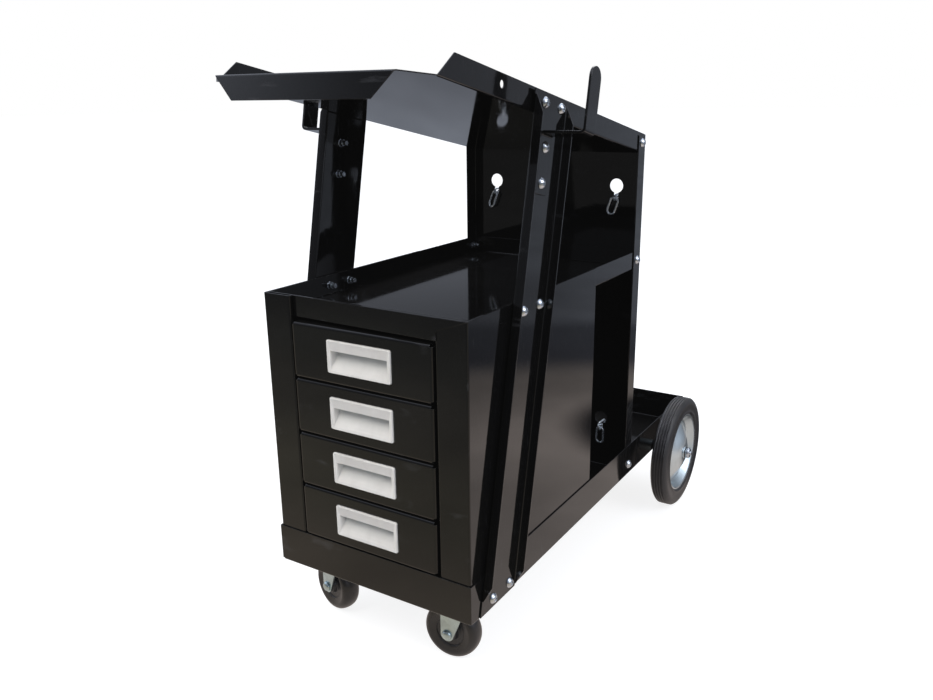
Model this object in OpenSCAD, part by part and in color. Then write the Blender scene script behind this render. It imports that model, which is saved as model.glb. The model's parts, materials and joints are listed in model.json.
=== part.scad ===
// Wheeled cart for a welding machine: a drawer cabinet in a long base pan,
// a middle tray, a tilted top tray, and a bay for a gas cylinder at the back.
// +X is the cart's right side, the drawers face -Y, +Z is up, the floor is z = 0.

/* [Cabinet] */
// Width of the drawer cabinet over its side walls
cab_w = 276; // [260:1:300]
// Depth of the drawer cabinet
cab_d = 313; // [290:1:330]
// Height of the cabinet face above the base pan's rim
cab_face_h = 296; // [288:1:330]
// Width of each front stile
stile_w = 39.5; // [30:0.5:45]
// Depth of the lip turned back from each stile
stile_lip = 5; // [3:0.5:5.5]
// Thickness of the folded sheet
sheet = 1.2; // [0.8:0.1:1.6]
// Inside radius of every fold
fold_r = 1.2; // [0.6:0.1:2]
// Play between sheets that slip into each other
slip = 0.2; // [0.1:0.05:0.3]

/* [Base pan] */
// Height of the pan's underside above the floor
base_z = 96; // [94:1:104]
// Height of the pan's rim
base_rim = 48; // [40:1:54]
// Length of the base pan
base_l = 708; // [690:1:740]

/* [Trays] */
// Height of the rims of the middle and the top tray
tray_rim = 25; // [22:0.5:28]
// How far the middle tray's front rim stands back from the stiles
rail_back = 6; // [5:0.5:9]
// Length of the top tray along its slope
top_l = 543; // [520:1:560]
// Upward tilt of the top tray towards the front, in degrees
top_tilt = 10.6; // [8:0.2:12]
// Height of the top tray's rear fold above the cabinet's top
top_rise = 134.5; // [125:0.5:150]
// Corner cut of the top tray at its folds
corner_cut = 26; // [20:1:30]
// Diameter of the torch holes in the top tray's rims
torch_hole_d = 8; // [6:0.5:9]

/* [Rear panel] */
// Distance of the panel's rear face from the cabinet's front
panel_y = 467; // [455:1:480]
// Depth of the panel's side flanges
panel_flange = 25; // [22:1:28]
// Distance of each upper keyhole from the middle
keyhole_x = 98; // [90:1:104]
// Distance of each lower keyhole from the middle
keyhole_low_x = 87; // [84:1:92]
// Radius of a keyhole's round head
keyhole_r = 10; // [9:0.5:12]
// Width of a keyhole's slot
keyhole_slot = 6.6; // [6:0.2:7.4]
// Distance from a keyhole's head to the lower end of its slot
keyhole_drop = 17.5; // [16:0.5:20]
// Height of the upper keyholes above the cabinet's top
keyhole_up = 88.5; // [80:0.5:100]
// Height of the lower keyholes above the base pan's underside
keyhole_low = 79; // [76:1:86]

/* [Uprights] */
// Width of an upright's web
up_web = 76; // [70:1:80]
// Depth of an upright's flanges
up_flange = 15; // [12:0.5:18]
// Thickness of an upright
up_sheet = 1.5; // [1.2:0.1:2]
// Backward lean of the uprights, in degrees
up_lean = 12; // [10:0.5:13]
// Distance of an upright's foot from the cabinet's front
up_foot_y = 57; // [50:1:65]
// Length of an upright's flanges
up_l = 550; // [540:1:555]
// Length of the mitre at the ends of the flanges
up_mitre = 18; // [12:1:22]

/* [Cable hooks] */
// Width of the flat bar
hook_w = 25; // [20:1:28]
// Thickness of the flat bar
hook_t = 3; // [2:0.5:4]
// Reach of the hook from the upright's web
hook_reach = 53; // [45:1:60]
// Height of the hook's upturned end
hook_up = 67; // [55:1:75]
// Distance of the hook's arm from the upright's foot, along the upright
hook_v = 516; // [508:1:520]

/* [Drawers] */
// Distance from one drawer to the next
drawer_pitch = 67; // [66:0.5:67.5]
// Gap between two drawer fronts
drawer_gap = 1.5; // [1:0.25:2.5]
// Play on each side of a drawer front
front_side_gap = 2.4; // [2:0.2:3]
// Depth of a drawer front's folded edge
front_d = 12; // [11:0.5:14]
// How far the drawer fronts stand proud of the stiles
front_proud = 2; // [1:0.5:3]
// Bend radius of a drawer front's edges
front_r = 2.2; // [1.5:0.1:3]
// Width of a drawer box
box_w = 186; // [180:1:188]
// Length of a drawer box
box_l = 285; // [270:1:290]
// Height of a drawer box
box_h = 56; // [50:1:58]
// Thickness of the drawers' and guides' sheet
thin = 1; // [0.8:0.1:1.2]
// Width of the ledge that a drawer slides on
ledge_w = 12; // [10:0.5:14]
// Running gap between a drawer and its ledge
run_gap = 0.3; // [0.2:0.05:0.5]

/* [Handles] */
// Width of a handle's rim
handle_w = 89; // [84:1:94]
// Height of a handle's rim
handle_h = 39; // [36:0.5:42]
// Thickness of a handle's rim
handle_rim = 2.5; // [2:0.1:3]
// Depth of the handle's pocket behind the drawer's face
handle_d = 11; // [10:0.5:11.5]
// Height of the pull lip above the pocket's mouth
handle_lip = 12.5; // [10:0.5:14]
// Wall of the handle's moulding
handle_wall = 1.5; // [1.2:0.1:2]

/* [Rear wheels] */
// Diameter of a rear wheel
wheel_d = 178; // [170:1:184]
// Width of a rear wheel
wheel_w = 27; // [24:0.5:30]
// Distance of the rear axle from the cabinet's front
axle_y = 595; // [585:1:605]
// Diameter of the rear axle
axle_d = 12; // [10:0.5:12.5]
// Gap between the base pan and a rear wheel's tyre
wheel_gap = 14.5; // [12:0.5:18]
// Radius of the rim's edge
rim_r = 63.5; // [58:0.5:68]
// Outside radius of the wheel's hub
hub_r = 13; // [11:0.5:15]
// Radial play of a wheel on its axle
bore_play = 0.08; // [0.05:0.01:0.1]

/* [Casters] */
// Diameter of a caster wheel
caster_d = 72; // [68:1:75]
// Width of a caster wheel
caster_w = 26; // [22:1:28]
// Distance of each caster's kingpin from the middle
caster_x = 94; // [88:1:98]
// Distance of the kingpins from the cabinet's front
caster_y = 62; // [55:1:70]
// Trail of a caster's axle behind its kingpin
caster_trail = 18.7; // [15:0.5:22]
// Resting direction of the left caster's trail, in degrees
caster_turn_left = 164; // [0:1:360]
// Resting direction of the right caster's trail, in degrees
caster_turn_right = 184; // [0:1:360]
// Side of a caster's square top plate
plate_w = 62; // [58:1:68]
// Distance between a top plate's bolts
plate_pitch = 44; // [42:1:48]
// Thickness of the casters' pressed steel
caster_t = 2.5; // [2:0.1:3]
// Diameter of a caster's axle bolt
caster_axle_d = 8; // [6:0.5:9]

/* [Fasteners] */
// Shank diameter of the frame bolts
bolt_d = 6; // [5:0.5:6.5]
// Diameter of a frame bolt's domed head
head_d = 13; // [11:0.5:14]
// Height of a frame bolt's domed head
head_h = 4.5; // [3.5:0.25:5]
// Distance between the two bolts of a pair
pair_pitch = 38; // [34:1:40]
// Width of a nut across its flats
nut_w = 10; // [9:0.5:11]
// Height of a nut
nut_h = 5; // [4:0.5:6]
// Clearance hole around a frame bolt
hole_play = 0.3; // [0.2:0.05:0.5]

/* [Chains] */
// Diameter of the chain's wire
wire = 3; // [2.6:0.1:3.2]
// Length of a link outside
link_l = 28; // [27:0.5:30]
// Width of a link outside
link_w = 14; // [13:0.5:15]
// Play between two links
link_play = 0.3; // [0.2:0.05:0.5]
// Links of the upper chain behind the panel, an odd number
links = 19; // [17:2:21]

/* [Hidden] */
$fn = 48;

black = [0.06, 0.06, 0.065];
ivory = [0.86, 0.84, 0.78];
zinc = [0.75, 0.76, 0.78];
rubber = [0.09, 0.09, 0.09];
eps = 0.01;
big = 2000;

// How far the legs of two bends in one sheet run over each other
lap = 1;

// Heights
floor_top = base_z + sheet;
rim_top = base_z + base_rim;
cab_top = rim_top + cab_face_h;
shelf_z = cab_top - tray_rim;
top_fold_z = cab_top + top_rise;
panel_top = top_fold_z + tray_rim;

// Half widths: the pan is outside the cabinet, the trays and the panel inside
cab_x = cab_w / 2;
pan_x = cab_x + slip + sheet;
tray_x = cab_x - sheet - slip;
pan_front = -slip - sheet;
pan_back = pan_front + base_l;
panel_face = panel_y - sheet;

// The cart's middle from front to back, between the tray's front and the pan's back
tray_nose = panel_face - top_l * cos(top_tilt) - (tray_rim - sheet) * sin(top_tilt);
mid_y = (tray_nose + pan_back) / 2;

// How far a square sheet edge that stands in a fold, the slip from its side, is kept off its floor
fold_seat = fold_r - sqrt(fold_r * fold_r - (fold_r - slip) * (fold_r - slip)) + 0.01;
stand_z = floor_top + fold_seat;
tray_back = panel_face - fold_seat;

// Drawers
opening_x = cab_x - stile_w;
front_w = 2 * (opening_x - front_side_gap);
front_h = drawer_pitch - drawer_gap;
front_z0 = rim_top + 1;
box_lift = 2.5;
box_y = front_d - front_proud;
front_hem = 10;

// Drawer guides
guide_x = opening_x + sheet + slip;
guide_flange = 16;
ledge_trim = 12;

// Cross recess of the bolts
cross_l = head_d * 0.5;
cross_t = 1.7;
cross_deep = 2;

// Handles
handle_r = 3;
handle_hole_w = handle_w - 8;
handle_hole_h = handle_h - 8;
handle_side = 4.5;
handle_foot = 4;

// Uprights: u runs across the web, v along it, both from the foot
up_x = pan_x;
foot_rise = 12;
foot_z = base_z + foot_rise;
top_pair_drop = 22;
bolt_u = 5;
hook_u = -10;
hook_bolt_high = 16;
hook_bolt_pitch = 38;
hook_bolt_v = [hook_v - hook_bolt_high - hook_bolt_pitch, hook_v - hook_bolt_high];
hook_end = 12;

// Rear axle and wheels
wheel_r = wheel_d / 2;
axle_z = wheel_r;
wheel_x = pan_x + wheel_gap;
axle_end = wheel_x + wheel_w + 9;
bush_wall = 2;
bush_r = axle_d / 2 + bore_play + bush_wall;
bracket_w = 44;
bracket_bolt_y = 15;
bracket_t = 3;
bracket_in = 20;
bracket_x = pan_x - bracket_in;
rim_dish = 22;
rim_step = 12;
hub_flare = 8;

// Casters
caster_r = caster_d / 2;
race_r = 23;
race_h = 6;
head_gap = 0.5;
fork_top = base_z - caster_t - race_h - head_gap;
fork_in = caster_w / 2 + 2;
pin_d = 12;
tread = 10;
tread_round = 8;
bead = 4;

function lean_y(z) = up_foot_y + (z - foot_z) * tan(up_lean);
function fold_z(y) = top_fold_z + (panel_face - y) * tan(top_tilt);
function front_z(i) = front_z0 + (4 - i) * drawer_pitch;

// Places everything with the cart's middle on the origin
module cart() {
    translate([0, -mid_y, 0]) children();
}

// Mirrors its children to the left side when side is -1
module on_side(side) {
    if (side < 0) mirror([1, 0, 0]) children();
    else children();
}

// Rectangle a by b from the origin, round at the origin
module round_corner(a, b, r) {
    translate([r, 0]) square([a - r, b]);
    translate([0, r]) square([a, b - r]);
    translate([r, r]) circle(r);
}

// Bent sheet with its outside corner at the origin: legs a along X and b along Y, bend radius r inside
module elbow_section(a, b, t, r) {
    difference() {
        round_corner(a, b, r + t);
        translate([t, t]) round_corner(a, b, r);
    }
}

// Quarter of a ring in the first quadrant, a bend without its legs
module fold_section(r, t) {
    intersection() {
        difference() {
            circle(r + t);
            circle(r);
        }
        square(r + t);
    }
}

// U section, open upwards: w wide and h high outside
module channel_section(w, h, t, r) {
    for (s = [-1, 1]) mirror([s < 0 ? 1 : 0, 0])
        translate([-w / 2, 0]) elbow_section(w / 2 + lap, h, t, r);
}

// Extrudes a YZ outline over a width w, centred on x = 0
module across(w) {
    translate([-w / 2, 0, 0]) rotate([90, 0, 90]) linear_extrude(w) children();
}

// Extrudes an XZ outline from y0 to y1
module along(y0, y1) {
    translate([0, y1, 0]) rotate([90, 0, 0]) linear_extrude(y1 - y0) children();
}

// Pan folded from one sheet, with a rim of height h all round
module folded_pan(half_w, y0, y1, h, t) {
    in = fold_r + t;
    along(y0 + in, y1 - in) channel_section(2 * half_w, h, t, fold_r);
    for (s = [-1, 1])
        translate([s * (half_w - t / 2) - t / 2, y0, in]) cube([t, y1 - y0, h - in]);
    for (y = [y0, y1 - t])
        translate([-half_w, y, in]) cube([2 * half_w, t, h - in]);
    across(2 * (half_w - in)) {
        translate([y0 + in, in]) rotate(180) fold_section(fold_r, t);
        translate([y1 - in, in]) rotate(-90) fold_section(fold_r, t);
    }
}

// Clearance hole along X at each given place
module side_holes(places) {
    for (p = places)
        translate([-big / 2, p[0], p[1]]) rotate([0, 90, 0]) cylinder(d = bolt_d + 2 * hole_play, h = big);
}

// Bolt places on the right side, as [y, z]
function pair_at(z) = [for (s = [-1, 1]) [lean_y(z) + bolt_u + s * pair_pitch / 2, z]];
base_pair = pair_at(foot_z);
shelf_pair = pair_at(shelf_z + tray_rim / 2);
top_pair_y = lean_y(fold_z(0) - top_pair_drop) + bolt_u;
top_pair = [for (s = [-1, 1]) let (y = top_pair_y + s * pair_pitch / 2) [y, fold_z(y) + tray_rim / 2]];
panel_bolt_y = panel_y - panel_flange / 2;
panel_low = [panel_bolt_y, base_z + 16.5];
panel_mid = [panel_bolt_y, shelf_z + tray_rim / 2];
panel_high = [panel_bolt_y, fold_z(panel_bolt_y) + tray_rim / 2];

module base_pan() {
    color(black) cart() difference() {
        translate([0, 0, base_z]) folded_pan(pan_x, pan_front, pan_back, base_rim, sheet);
        side_holes([base_pair[0], base_pair[1], panel_low]);
        caster_holes();
        bracket_holes();
    }
}

// Outline of the cabinet's wrap seen from above: lip, stile, wall, back, wall, stile, lip
module shell_section() {
    for (s = [-1, 1]) mirror([s < 0 ? 1 : 0, 0]) {
        translate([opening_x, 0]) elbow_section(stile_w / 2 + lap, stile_lip, sheet, fold_r);
        translate([cab_x, 0]) mirror([1, 0])
            elbow_section(stile_w / 2 + lap, cab_d / 2 + lap, sheet, fold_r);
        translate([cab_x, cab_d]) rotate(180) elbow_section(cab_x + lap, cab_d / 2 + lap, sheet, fold_r);
    }
}

module cabinet_shell() {
    in = fold_r + sheet;
    color(black) cart() difference() {
        translate([0, 0, stand_z]) linear_extrude(cab_top - stand_z) shell_section();
        translate([-cab_x - 1, cab_d - in, shelf_z - slip]) cube([cab_w + 2, in + 1, tray_rim + 1]);
        side_holes([base_pair[0], base_pair[1], shelf_pair[0], shelf_pair[1]]);
    }
}

module middle_tray() {
    color(black) cart() difference() {
        translate([0, 0, shelf_z]) folded_pan(tray_x, rail_back, tray_back, tray_rim, sheet);
        side_holes([shelf_pair[0], shelf_pair[1], panel_mid]);
    }
}

// Keyhole through the panel: a round head over a narrow slot
module keyhole() {
    rotate([90, 0, 0]) {
        cylinder(r = keyhole_r, h = 3 * sheet, center = true);
        translate([0, -keyhole_drop, 0]) cylinder(d = keyhole_slot, h = 3 * sheet, center = true);
        translate([-keyhole_slot / 2, -keyhole_drop, -1.5 * sheet])
            cube([keyhole_slot, keyhole_drop, 3 * sheet]);
    }
}

module rear_panel() {
    color(black) cart() difference() {
        translate([0, panel_y, stand_z]) mirror([0, 1, 0]) linear_extrude(panel_top - stand_z)
            channel_section(cab_w, panel_flange, sheet, fold_r);
        for (s = [-1, 1]) {
            translate([s * keyhole_x, panel_y - sheet / 2, cab_top + keyhole_up]) keyhole();
            translate([s * keyhole_low_x, panel_y - sheet / 2, base_z + keyhole_low]) keyhole();
        }
        side_holes([panel_low, panel_mid, panel_high]);
    }
}

// The top tray in its own plane: the sheet runs towards -Y from y = 0
module flat_top_tray() {
    in = fold_r + sheet;
    over = 8;
    nose = -top_l;
    cut_y = nose + corner_cut;
    intersection() {
        along(cut_y, over) channel_section(2 * tray_x, tray_rim, sheet, fold_r);
        across(big) polygon([[over, -1], [cut_y, -1], [cut_y, 0], [cut_y + tray_rim, tray_rim],
            [cut_y + tray_rim, tray_rim + 1], [over, tray_rim + 1]]);
    }
    linear_extrude(sheet) polygon([[-tray_x + in, over], [-tray_x + in, cut_y + in], [-tray_x, cut_y],
        [-tray_x + corner_cut, nose + in], [tray_x - corner_cut, nose + in], [tray_x, cut_y],
        [tray_x - in, cut_y + in], [tray_x - in, over]]);
    translate([0, nose + in, 0]) intersection() {
        across(2 * (tray_x - corner_cut)) translate([-in, sheet]) mirror([0, 1])
            elbow_section(in + lap, tray_rim, sheet, fold_r);
        along(-in - 1, lap) polygon([[-tray_x + corner_cut, sheet], [tray_x - corner_cut, sheet],
            [tray_x - corner_cut - tray_rim, sheet - tray_rim],
            [-tray_x + corner_cut + tray_rim, sheet - tray_rim]]);
    }
}

module top_tray() {
    torch_y = 71;
    color(black) cart() difference() {
        translate([0, panel_face, top_fold_z]) rotate([-top_tilt, 0, 0]) flat_top_tray();
        translate([-big / 2, tray_back, 0]) cube([big, big, big]);
        side_holes([top_pair[0], top_pair[1], panel_high]);
        translate([-big / 2, torch_y, fold_z(torch_y) + tray_rim * 0.6])
            rotate([0, 90, 0]) cylinder(d = torch_hole_d, h = big);
    }
}

// Moves its children into an upright's own frame: x out, y across the web, z along it
module upright_frame() {
    translate([up_x, up_foot_y, foot_z]) rotate([-up_lean, 0, 0]) children();
}

// Web between the pan's underside and the top tray's rim
function web_top(y) = fold_z(y) + (tray_rim - 2) / cos(top_tilt);
module upright_web() {
    half = up_web / 2 / cos(up_lean);
    low = base_z + 1;
    mid = lean_y(web_top(lean_y(fold_z(0))));
    translate([up_x, 0, 0]) rotate([90, 0, 90]) linear_extrude(up_sheet)
        polygon([[lean_y(low) - half, low], [lean_y(low) + half, low],
            [mid + half, web_top(mid + half)], [mid - half, web_top(mid - half)]]);
}

module upright_flanges() {
    in = fold_r + up_sheet;
    upright_frame() for (s = [-1, 1]) mirror([0, s < 0 ? 1 : 0, 0]) intersection() {
        linear_extrude(up_l) {
            translate([in, up_web / 2 - up_sheet]) square([up_flange - in, up_sheet]);
            translate([in, up_web / 2 - in]) rotate(90) fold_section(fold_r, up_sheet);
        }
        translate([0, up_web, 0]) rotate([90, 0, 0]) linear_extrude(2 * up_web)
            polygon([[0, 0], [in, 0], [up_flange, up_mitre], [up_flange, up_l - up_mitre],
                [in, up_l], [0, up_l]]);
    }
}

// A strip inside the sheet's thickness runs across the line where the web and each bend meet
module upright(side) {
    in = fold_r + up_sheet;
    color(black) cart() on_side(side) difference() {
        union() {
            difference() {
                upright_web();
                upright_frame() for (s = [-1, 1]) mirror([0, s < 0 ? 1 : 0, 0])
                    translate([-1, up_web / 2 - in, 0]) cube([up_sheet + 2, up_web, up_l]);
            }
            upright_flanges();
            upright_frame() for (s = [-1, 1]) translate([up_sheet / 3, s * (up_web / 2 - in) - 0.2, in])
                cube([up_sheet / 3, 0.4, up_l - 2 * in]);
        }
        side_holes(concat(base_pair, shelf_pair, top_pair));
        upright_frame() for (v = hook_bolt_v)
            translate([-1, hook_u, v]) rotate([0, 90, 0])
                cylinder(d = bolt_d + 2 * hole_play, h = up_sheet + 2);
    }
}

// Flat bar bent twice: down along the web, out, and up to a round end
module cable_hook(side) {
    r = 3;
    plate_low = hook_bolt_v[0] - hook_end;
    tip = hook_up + hook_t - hook_w / 2;
    color(black) cart() on_side(side) upright_frame() translate([up_sheet, hook_u, 0]) difference() {
        union() {
            rotate([90, 0, 0]) linear_extrude(hook_w, center = true) {
                translate([0, hook_v]) mirror([0, 1])
                    elbow_section(hook_reach / 2 + lap, hook_v - plate_low, hook_t, r);
                translate([hook_reach, hook_v - hook_t]) mirror([1, 0])
                    elbow_section(hook_reach / 2 + lap, tip, hook_t, r);
            }
            translate([hook_reach - hook_t, 0, hook_v - hook_t + tip])
                rotate([0, 90, 0]) cylinder(d = hook_w, h = hook_t);
        }
        for (v = hook_bolt_v) translate([-1, 0, v])
            rotate([0, 90, 0]) cylinder(d = bolt_d + 2 * hole_play, h = hook_t + 2);
    }
}

// Washers that fill the step between an upright and the narrower pieces above the pan
module upright_spacers() {
    color(zinc) cart() for (s = [-1, 1]) on_side(s) {
        for (p = shelf_pair) translate([cab_x, p[0], p[1]]) spacer(up_x - cab_x);
        for (p = top_pair) translate([tray_x, p[0], p[1]]) spacer(up_x - tray_x);
    }
}

module spacer(h) {
    rotate([0, 90, 0]) difference() {
        cylinder(d = head_d, h = h);
        translate([0, 0, -1]) cylinder(d = bolt_d + 2 * hole_play, h = h + 2);
    }
}

// Side plate with four ledges, one under each drawer
module drawer_guide(side) {
    y0 = sheet;
    y1 = cab_d - sheet;
    low = floor_top;
    high = shelf_z - slip;
    color(black) cart() on_side(side) {
        translate([guide_x, 0, low]) linear_extrude(high - low) {
            translate([0, y0]) elbow_section(guide_flange, (y1 - y0) / 2 + lap, thin, fold_r);
            translate([0, y1]) mirror([0, 1])
                elbow_section(guide_flange, (y1 - y0) / 2 + lap, thin, fold_r);
        }
        for (i = [1:4])
            translate([guide_x - ledge_w, y0 + ledge_trim, front_z(i) + box_lift - run_gap - thin])
                cube([ledge_w + eps, y1 - y0 - 2 * ledge_trim, thin]);
    }
}

// Open box with rims, carried on the ledges by its floor
module drawer_box(i) {
    color(black) cart() translate([0, 0, front_z(i) + box_lift])
        folded_pan(box_w / 2, box_y, box_y + box_l, box_h, thin);
}

// Rectangle with round corners, centred
module round_rect(w, h, r) {
    square([w - 2 * r, h], center = true);
    square([w, h - 2 * r], center = true);
    for (x = [-1, 1], y = [-1, 1]) translate([x * (w / 2 - r), y * (h / 2 - r)]) circle(r);
}

// Face with edges bent back, and a window for the handle
module drawer_front(i) {
    in = front_r + thin;
    face_y = -front_proud;
    color(black) cart() translate([0, 0, front_z(i)]) difference() {
        union() {
            translate([0, 0, in]) linear_extrude(front_h - 2 * in) translate([0, face_y])
                channel_section(front_w, front_d, thin, front_r);
            for (s = [-1, 1]) on_side(s)
                translate([front_w / 2 - front_hem, box_y - thin, in])
                    cube([front_hem, thin, front_h - 2 * in]);
            for (top = [0, 1]) translate([0, 0, top * front_h]) mirror([0, 0, top])
                across(front_w - 2 * in) {
                    translate([face_y + in, in]) rotate(180) fold_section(front_r, thin);
                    translate([face_y + in, 0]) square([front_d - in, thin]);
                }
        }
        translate([0, box_y, front_h / 2]) rotate([90, 0, 0])
            linear_extrude(front_d + 1) round_rect(handle_hole_w, handle_hole_h, 1.5);
    }
}

// Moulded pull: a rim, a pocket with a sloping floor and a lip to pull on
module drawer_handle(i) {
    face_y = -front_proud;
    nose = face_y - handle_rim;
    tail = face_y + handle_d;
    fit = 0.25;
    low = -handle_h / 2 + handle_foot;
    lip = handle_h / 2 - handle_lip;
    deep = tail - handle_wall;
    roof = handle_hole_h / 2 - fit - handle_wall;
    half = handle_w / 2 - handle_side;
    color(ivory) cart() translate([0, 0, front_z(i) + front_h / 2]) difference() {
        union() {
            translate([0, face_y, 0]) rotate([90, 0, 0])
                linear_extrude(handle_rim) round_rect(handle_w, handle_h, handle_r);
            translate([0, tail, 0]) rotate([90, 0, 0]) linear_extrude(tail - face_y)
                round_rect(handle_hole_w - 2 * fit, handle_hole_h - 2 * fit, 1.2);
        }
        intersection() {
            across(handle_w) polygon([[nose - 1, low - 1.9], [nose - 1, lip], [nose + handle_wall, lip],
                [nose + handle_wall, roof], [deep, roof], [deep, lip - 3], [nose, low]]);
            translate([0, 0, -handle_h]) linear_extrude(2 * handle_h)
                polygon([[-half - 0.5, nose - 1], [half + 0.5, nose - 1],
                    [half - 2.5, deep], [-half + 2.5, deep]]);
        }
    }
}

// Domed bolt with a cross recess, along X: the head's seat is at x = 0 and the shank runs to -X
module bolt(shank) {
    dome_r = (head_h * head_h + head_d * head_d / 4) / (2 * head_h);
    difference() {
        rotate([0, 90, 0]) rotate_extrude() intersection() {
            translate([0, head_h - dome_r]) circle(dome_r);
            square([head_d / 2, head_h]);
        }
        for (a = [20, 110]) rotate([a, 0, 0])
            translate([head_h - cross_deep, -cross_t / 2, -cross_l / 2]) cube([head_h, cross_t, cross_l]);
    }
    translate([-shank, 0, 0]) rotate([0, 90, 0]) cylinder(d = bolt_d, h = shank + eps);
}

// Hexagonal nut along X with a round boss, its seat at x = 0 and its body towards -X
module nut() {
    rotate([0, -90, 0]) difference() {
        union() {
            cylinder(d = nut_w + 3, h = 1);
            cylinder(d = nut_w / cos(30), h = nut_h, $fn = 6);
        }
        translate([0, 0, -1]) cylinder(d = bolt_d + 0.04, h = nut_h + 2);
    }
}

// Every frame bolt of one side as [y, z, seat of the head, seat of the nut]
side_bolts = concat(
    [for (p = base_pair) [p[0], p[1], up_x + up_sheet, cab_x - sheet]],
    [for (p = shelf_pair) [p[0], p[1], up_x + up_sheet, tray_x - sheet]],
    [for (p = top_pair) [p[0], p[1], up_x + up_sheet, tray_x - sheet]],
    [[panel_low[0], panel_low[1], pan_x, cab_x - sheet]],
    [for (p = [panel_mid, panel_high]) [p[0], p[1], cab_x, tray_x - sheet]]);

module frame_bolts() {
    tail = 5;
    color(zinc) cart() for (s = [-1, 1]) on_side(s) {
        for (b = side_bolts) translate([b[2], b[0], b[1]]) bolt(b[2] - b[3] + nut_h + tail);
        upright_frame() for (v = hook_bolt_v) translate([up_sheet + hook_t, hook_u, v])
            bolt(up_sheet + hook_t + nut_h + tail);
    }
}

module frame_nuts() {
    color(zinc) cart() for (s = [-1, 1]) on_side(s) {
        for (b = side_bolts) translate([b[3], b[0], b[1]]) nut();
        upright_frame() for (v = hook_bolt_v) translate([0, hook_u, v]) nut();
    }
}

// One link of round wire, long along X and flat in the XZ plane
module link() {
    bend = (link_w - wire) / 2;
    run = link_l - link_w;
    for (s = [-1, 1]) {
        translate([-run / 2, 0, s * bend]) rotate([0, 90, 0]) cylinder(d = wire, h = run, $fn = 16);
        translate([s * run / 2, 0, 0]) rotate([90, s * 90, 0])
            rotate_extrude(angle = 180, $fn = 24) translate([bend, 0]) circle(d = wire, $fn = 16);
    }
}

link_pitch = link_l - 2 * wire - link_play;

// Link between two joints; it lies flat in the plane of its run and the vector flat
module link_between(a, b, flat) {
    d = (b - a) / norm(b - a);
    n = cross(d, flat) / norm(cross(d, flat));
    f = cross(n, d);
    m = (a + b) / 2;
    multmatrix([[d[0], n[0], -f[0], m[0]], [d[1], n[1], -f[1], m[1]], [d[2], n[2], -f[2], m[2]]]) link();
}

// The link that passes through a keyhole, and the loose one in front of the panel
slot_y = panel_y - sheet / 2;
pass_shift = 3;
pass_reach = (link_l - link_w - wire) / 2;
function slot_foot(z) = z - keyhole_drop - keyhole_slot / 2 + 0.1;
module keyhole_links(x, z) {
    for (s = [-1, 1]) on_side(s) {
        translate([x, slot_y + pass_shift, slot_foot(z) + link_w / 2]) rotate([0, 0, 90]) link();
        translate([x, slot_y + pass_shift - pass_reach, slot_foot(z) + 2 * wire + link_play / 2 - link_l / 2])
            rotate([0, 90, 0]) link();
    }
}

// Where the first hanging link rests on the one in the keyhole
hang_y = slot_y + pass_shift + pass_reach;
function hang_top(z) = slot_foot(z) + wire + link_play / 2;

// Slack chain: a catenary with the given span and length, by its run from the lowest point
chain_run = links * link_pitch;
slack = chain_run / keyhole_x;
function sag_u(u, n) = n == 0 ? u : sag_u(ln(slack * u + exp(-u)), n - 1);
sag_a = keyhole_x / sag_u(2.3, 30);
function arsinh(t) = ln(t + sqrt(t * t + 1));
function swag(s, z) = let (h = chain_run / 2) [sag_a * arsinh(s / sag_a), hang_y,
    z + sqrt(sag_a * sag_a + s * s) - sqrt(sag_a * sag_a + h * h)];

module upper_chain() {
    z = cab_top + keyhole_up;
    color(zinc) cart() {
        keyhole_links(keyhole_x, z);
        for (i = [0:links - 1]) {
            a = swag(-chain_run / 2 + i * link_pitch, hang_top(z));
            b = swag(-chain_run / 2 + (i + 1) * link_pitch, hang_top(z));
            link_between(a, b, i % 2 == 0 ? cross(b - a, [0, 1, 0]) : [0, 1, 0]);
        }
    }
}

// Chain that reaches the pan's floor: down, round a quarter bend, and across in a flat loop
low_links = 9;
lie_z = floor_top + link_w / 2 + 0.2;
lie_r = 66;
lie_run = keyhole_low_x - lie_r - link_pitch / 2;
low_h = hang_top(base_z + keyhole_low) - lie_z;
drop_r = (low_links * link_pitch - low_h - lie_r * PI / 2 - lie_run) / (PI / 2 - 1);
function lie_point(s) = let (q = s - low_h + drop_r, arc = drop_r * PI / 2, turn = lie_r * PI / 2)
    q < 0 ? [keyhole_low_x, hang_y, lie_z + low_h - s]
    : q < arc ? let (t = q / drop_r * 180 / PI)
        [keyhole_low_x, hang_y + drop_r * (1 - cos(t)), lie_z + drop_r * (1 - sin(t))]
    : q < arc + turn ? let (t = (q - arc) / lie_r * 180 / PI)
        [keyhole_low_x - lie_r * (1 - cos(t)), hang_y + drop_r + lie_r * sin(t), lie_z]
    : [keyhole_low_x - lie_r - (q - arc - turn), hang_y + drop_r + lie_r, lie_z];

module lower_chain() {
    z = base_z + keyhole_low;
    mid = lie_point(low_links * link_pitch);
    color(zinc) cart() {
        keyhole_links(keyhole_low_x, z);
        link_between([-mid[0], mid[1], mid[2]], mid, [0, 0, 1]);
        for (s = [-1, 1]) on_side(s) for (i = [0:low_links - 1]) {
            a = lie_point(i * link_pitch);
            b = lie_point((i + 1) * link_pitch);
            d = b - a;
            side = cross(d, [0, -d[2], abs(d[1]) + abs(d[0])]);
            link_between(a, b, i % 2 == 0 ? side : cross(d, side));
        }
    }
}

// Angle brackets under the pan, bored for the axle
module bracket_holes() {
    for (s = [-1, 1], y = [-1, 1])
        translate([s * (bracket_x - 14), axle_y + y * bracket_bolt_y, base_z - 5])
            cylinder(d = bolt_d + 2 * hole_play, h = 10);
}

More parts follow.
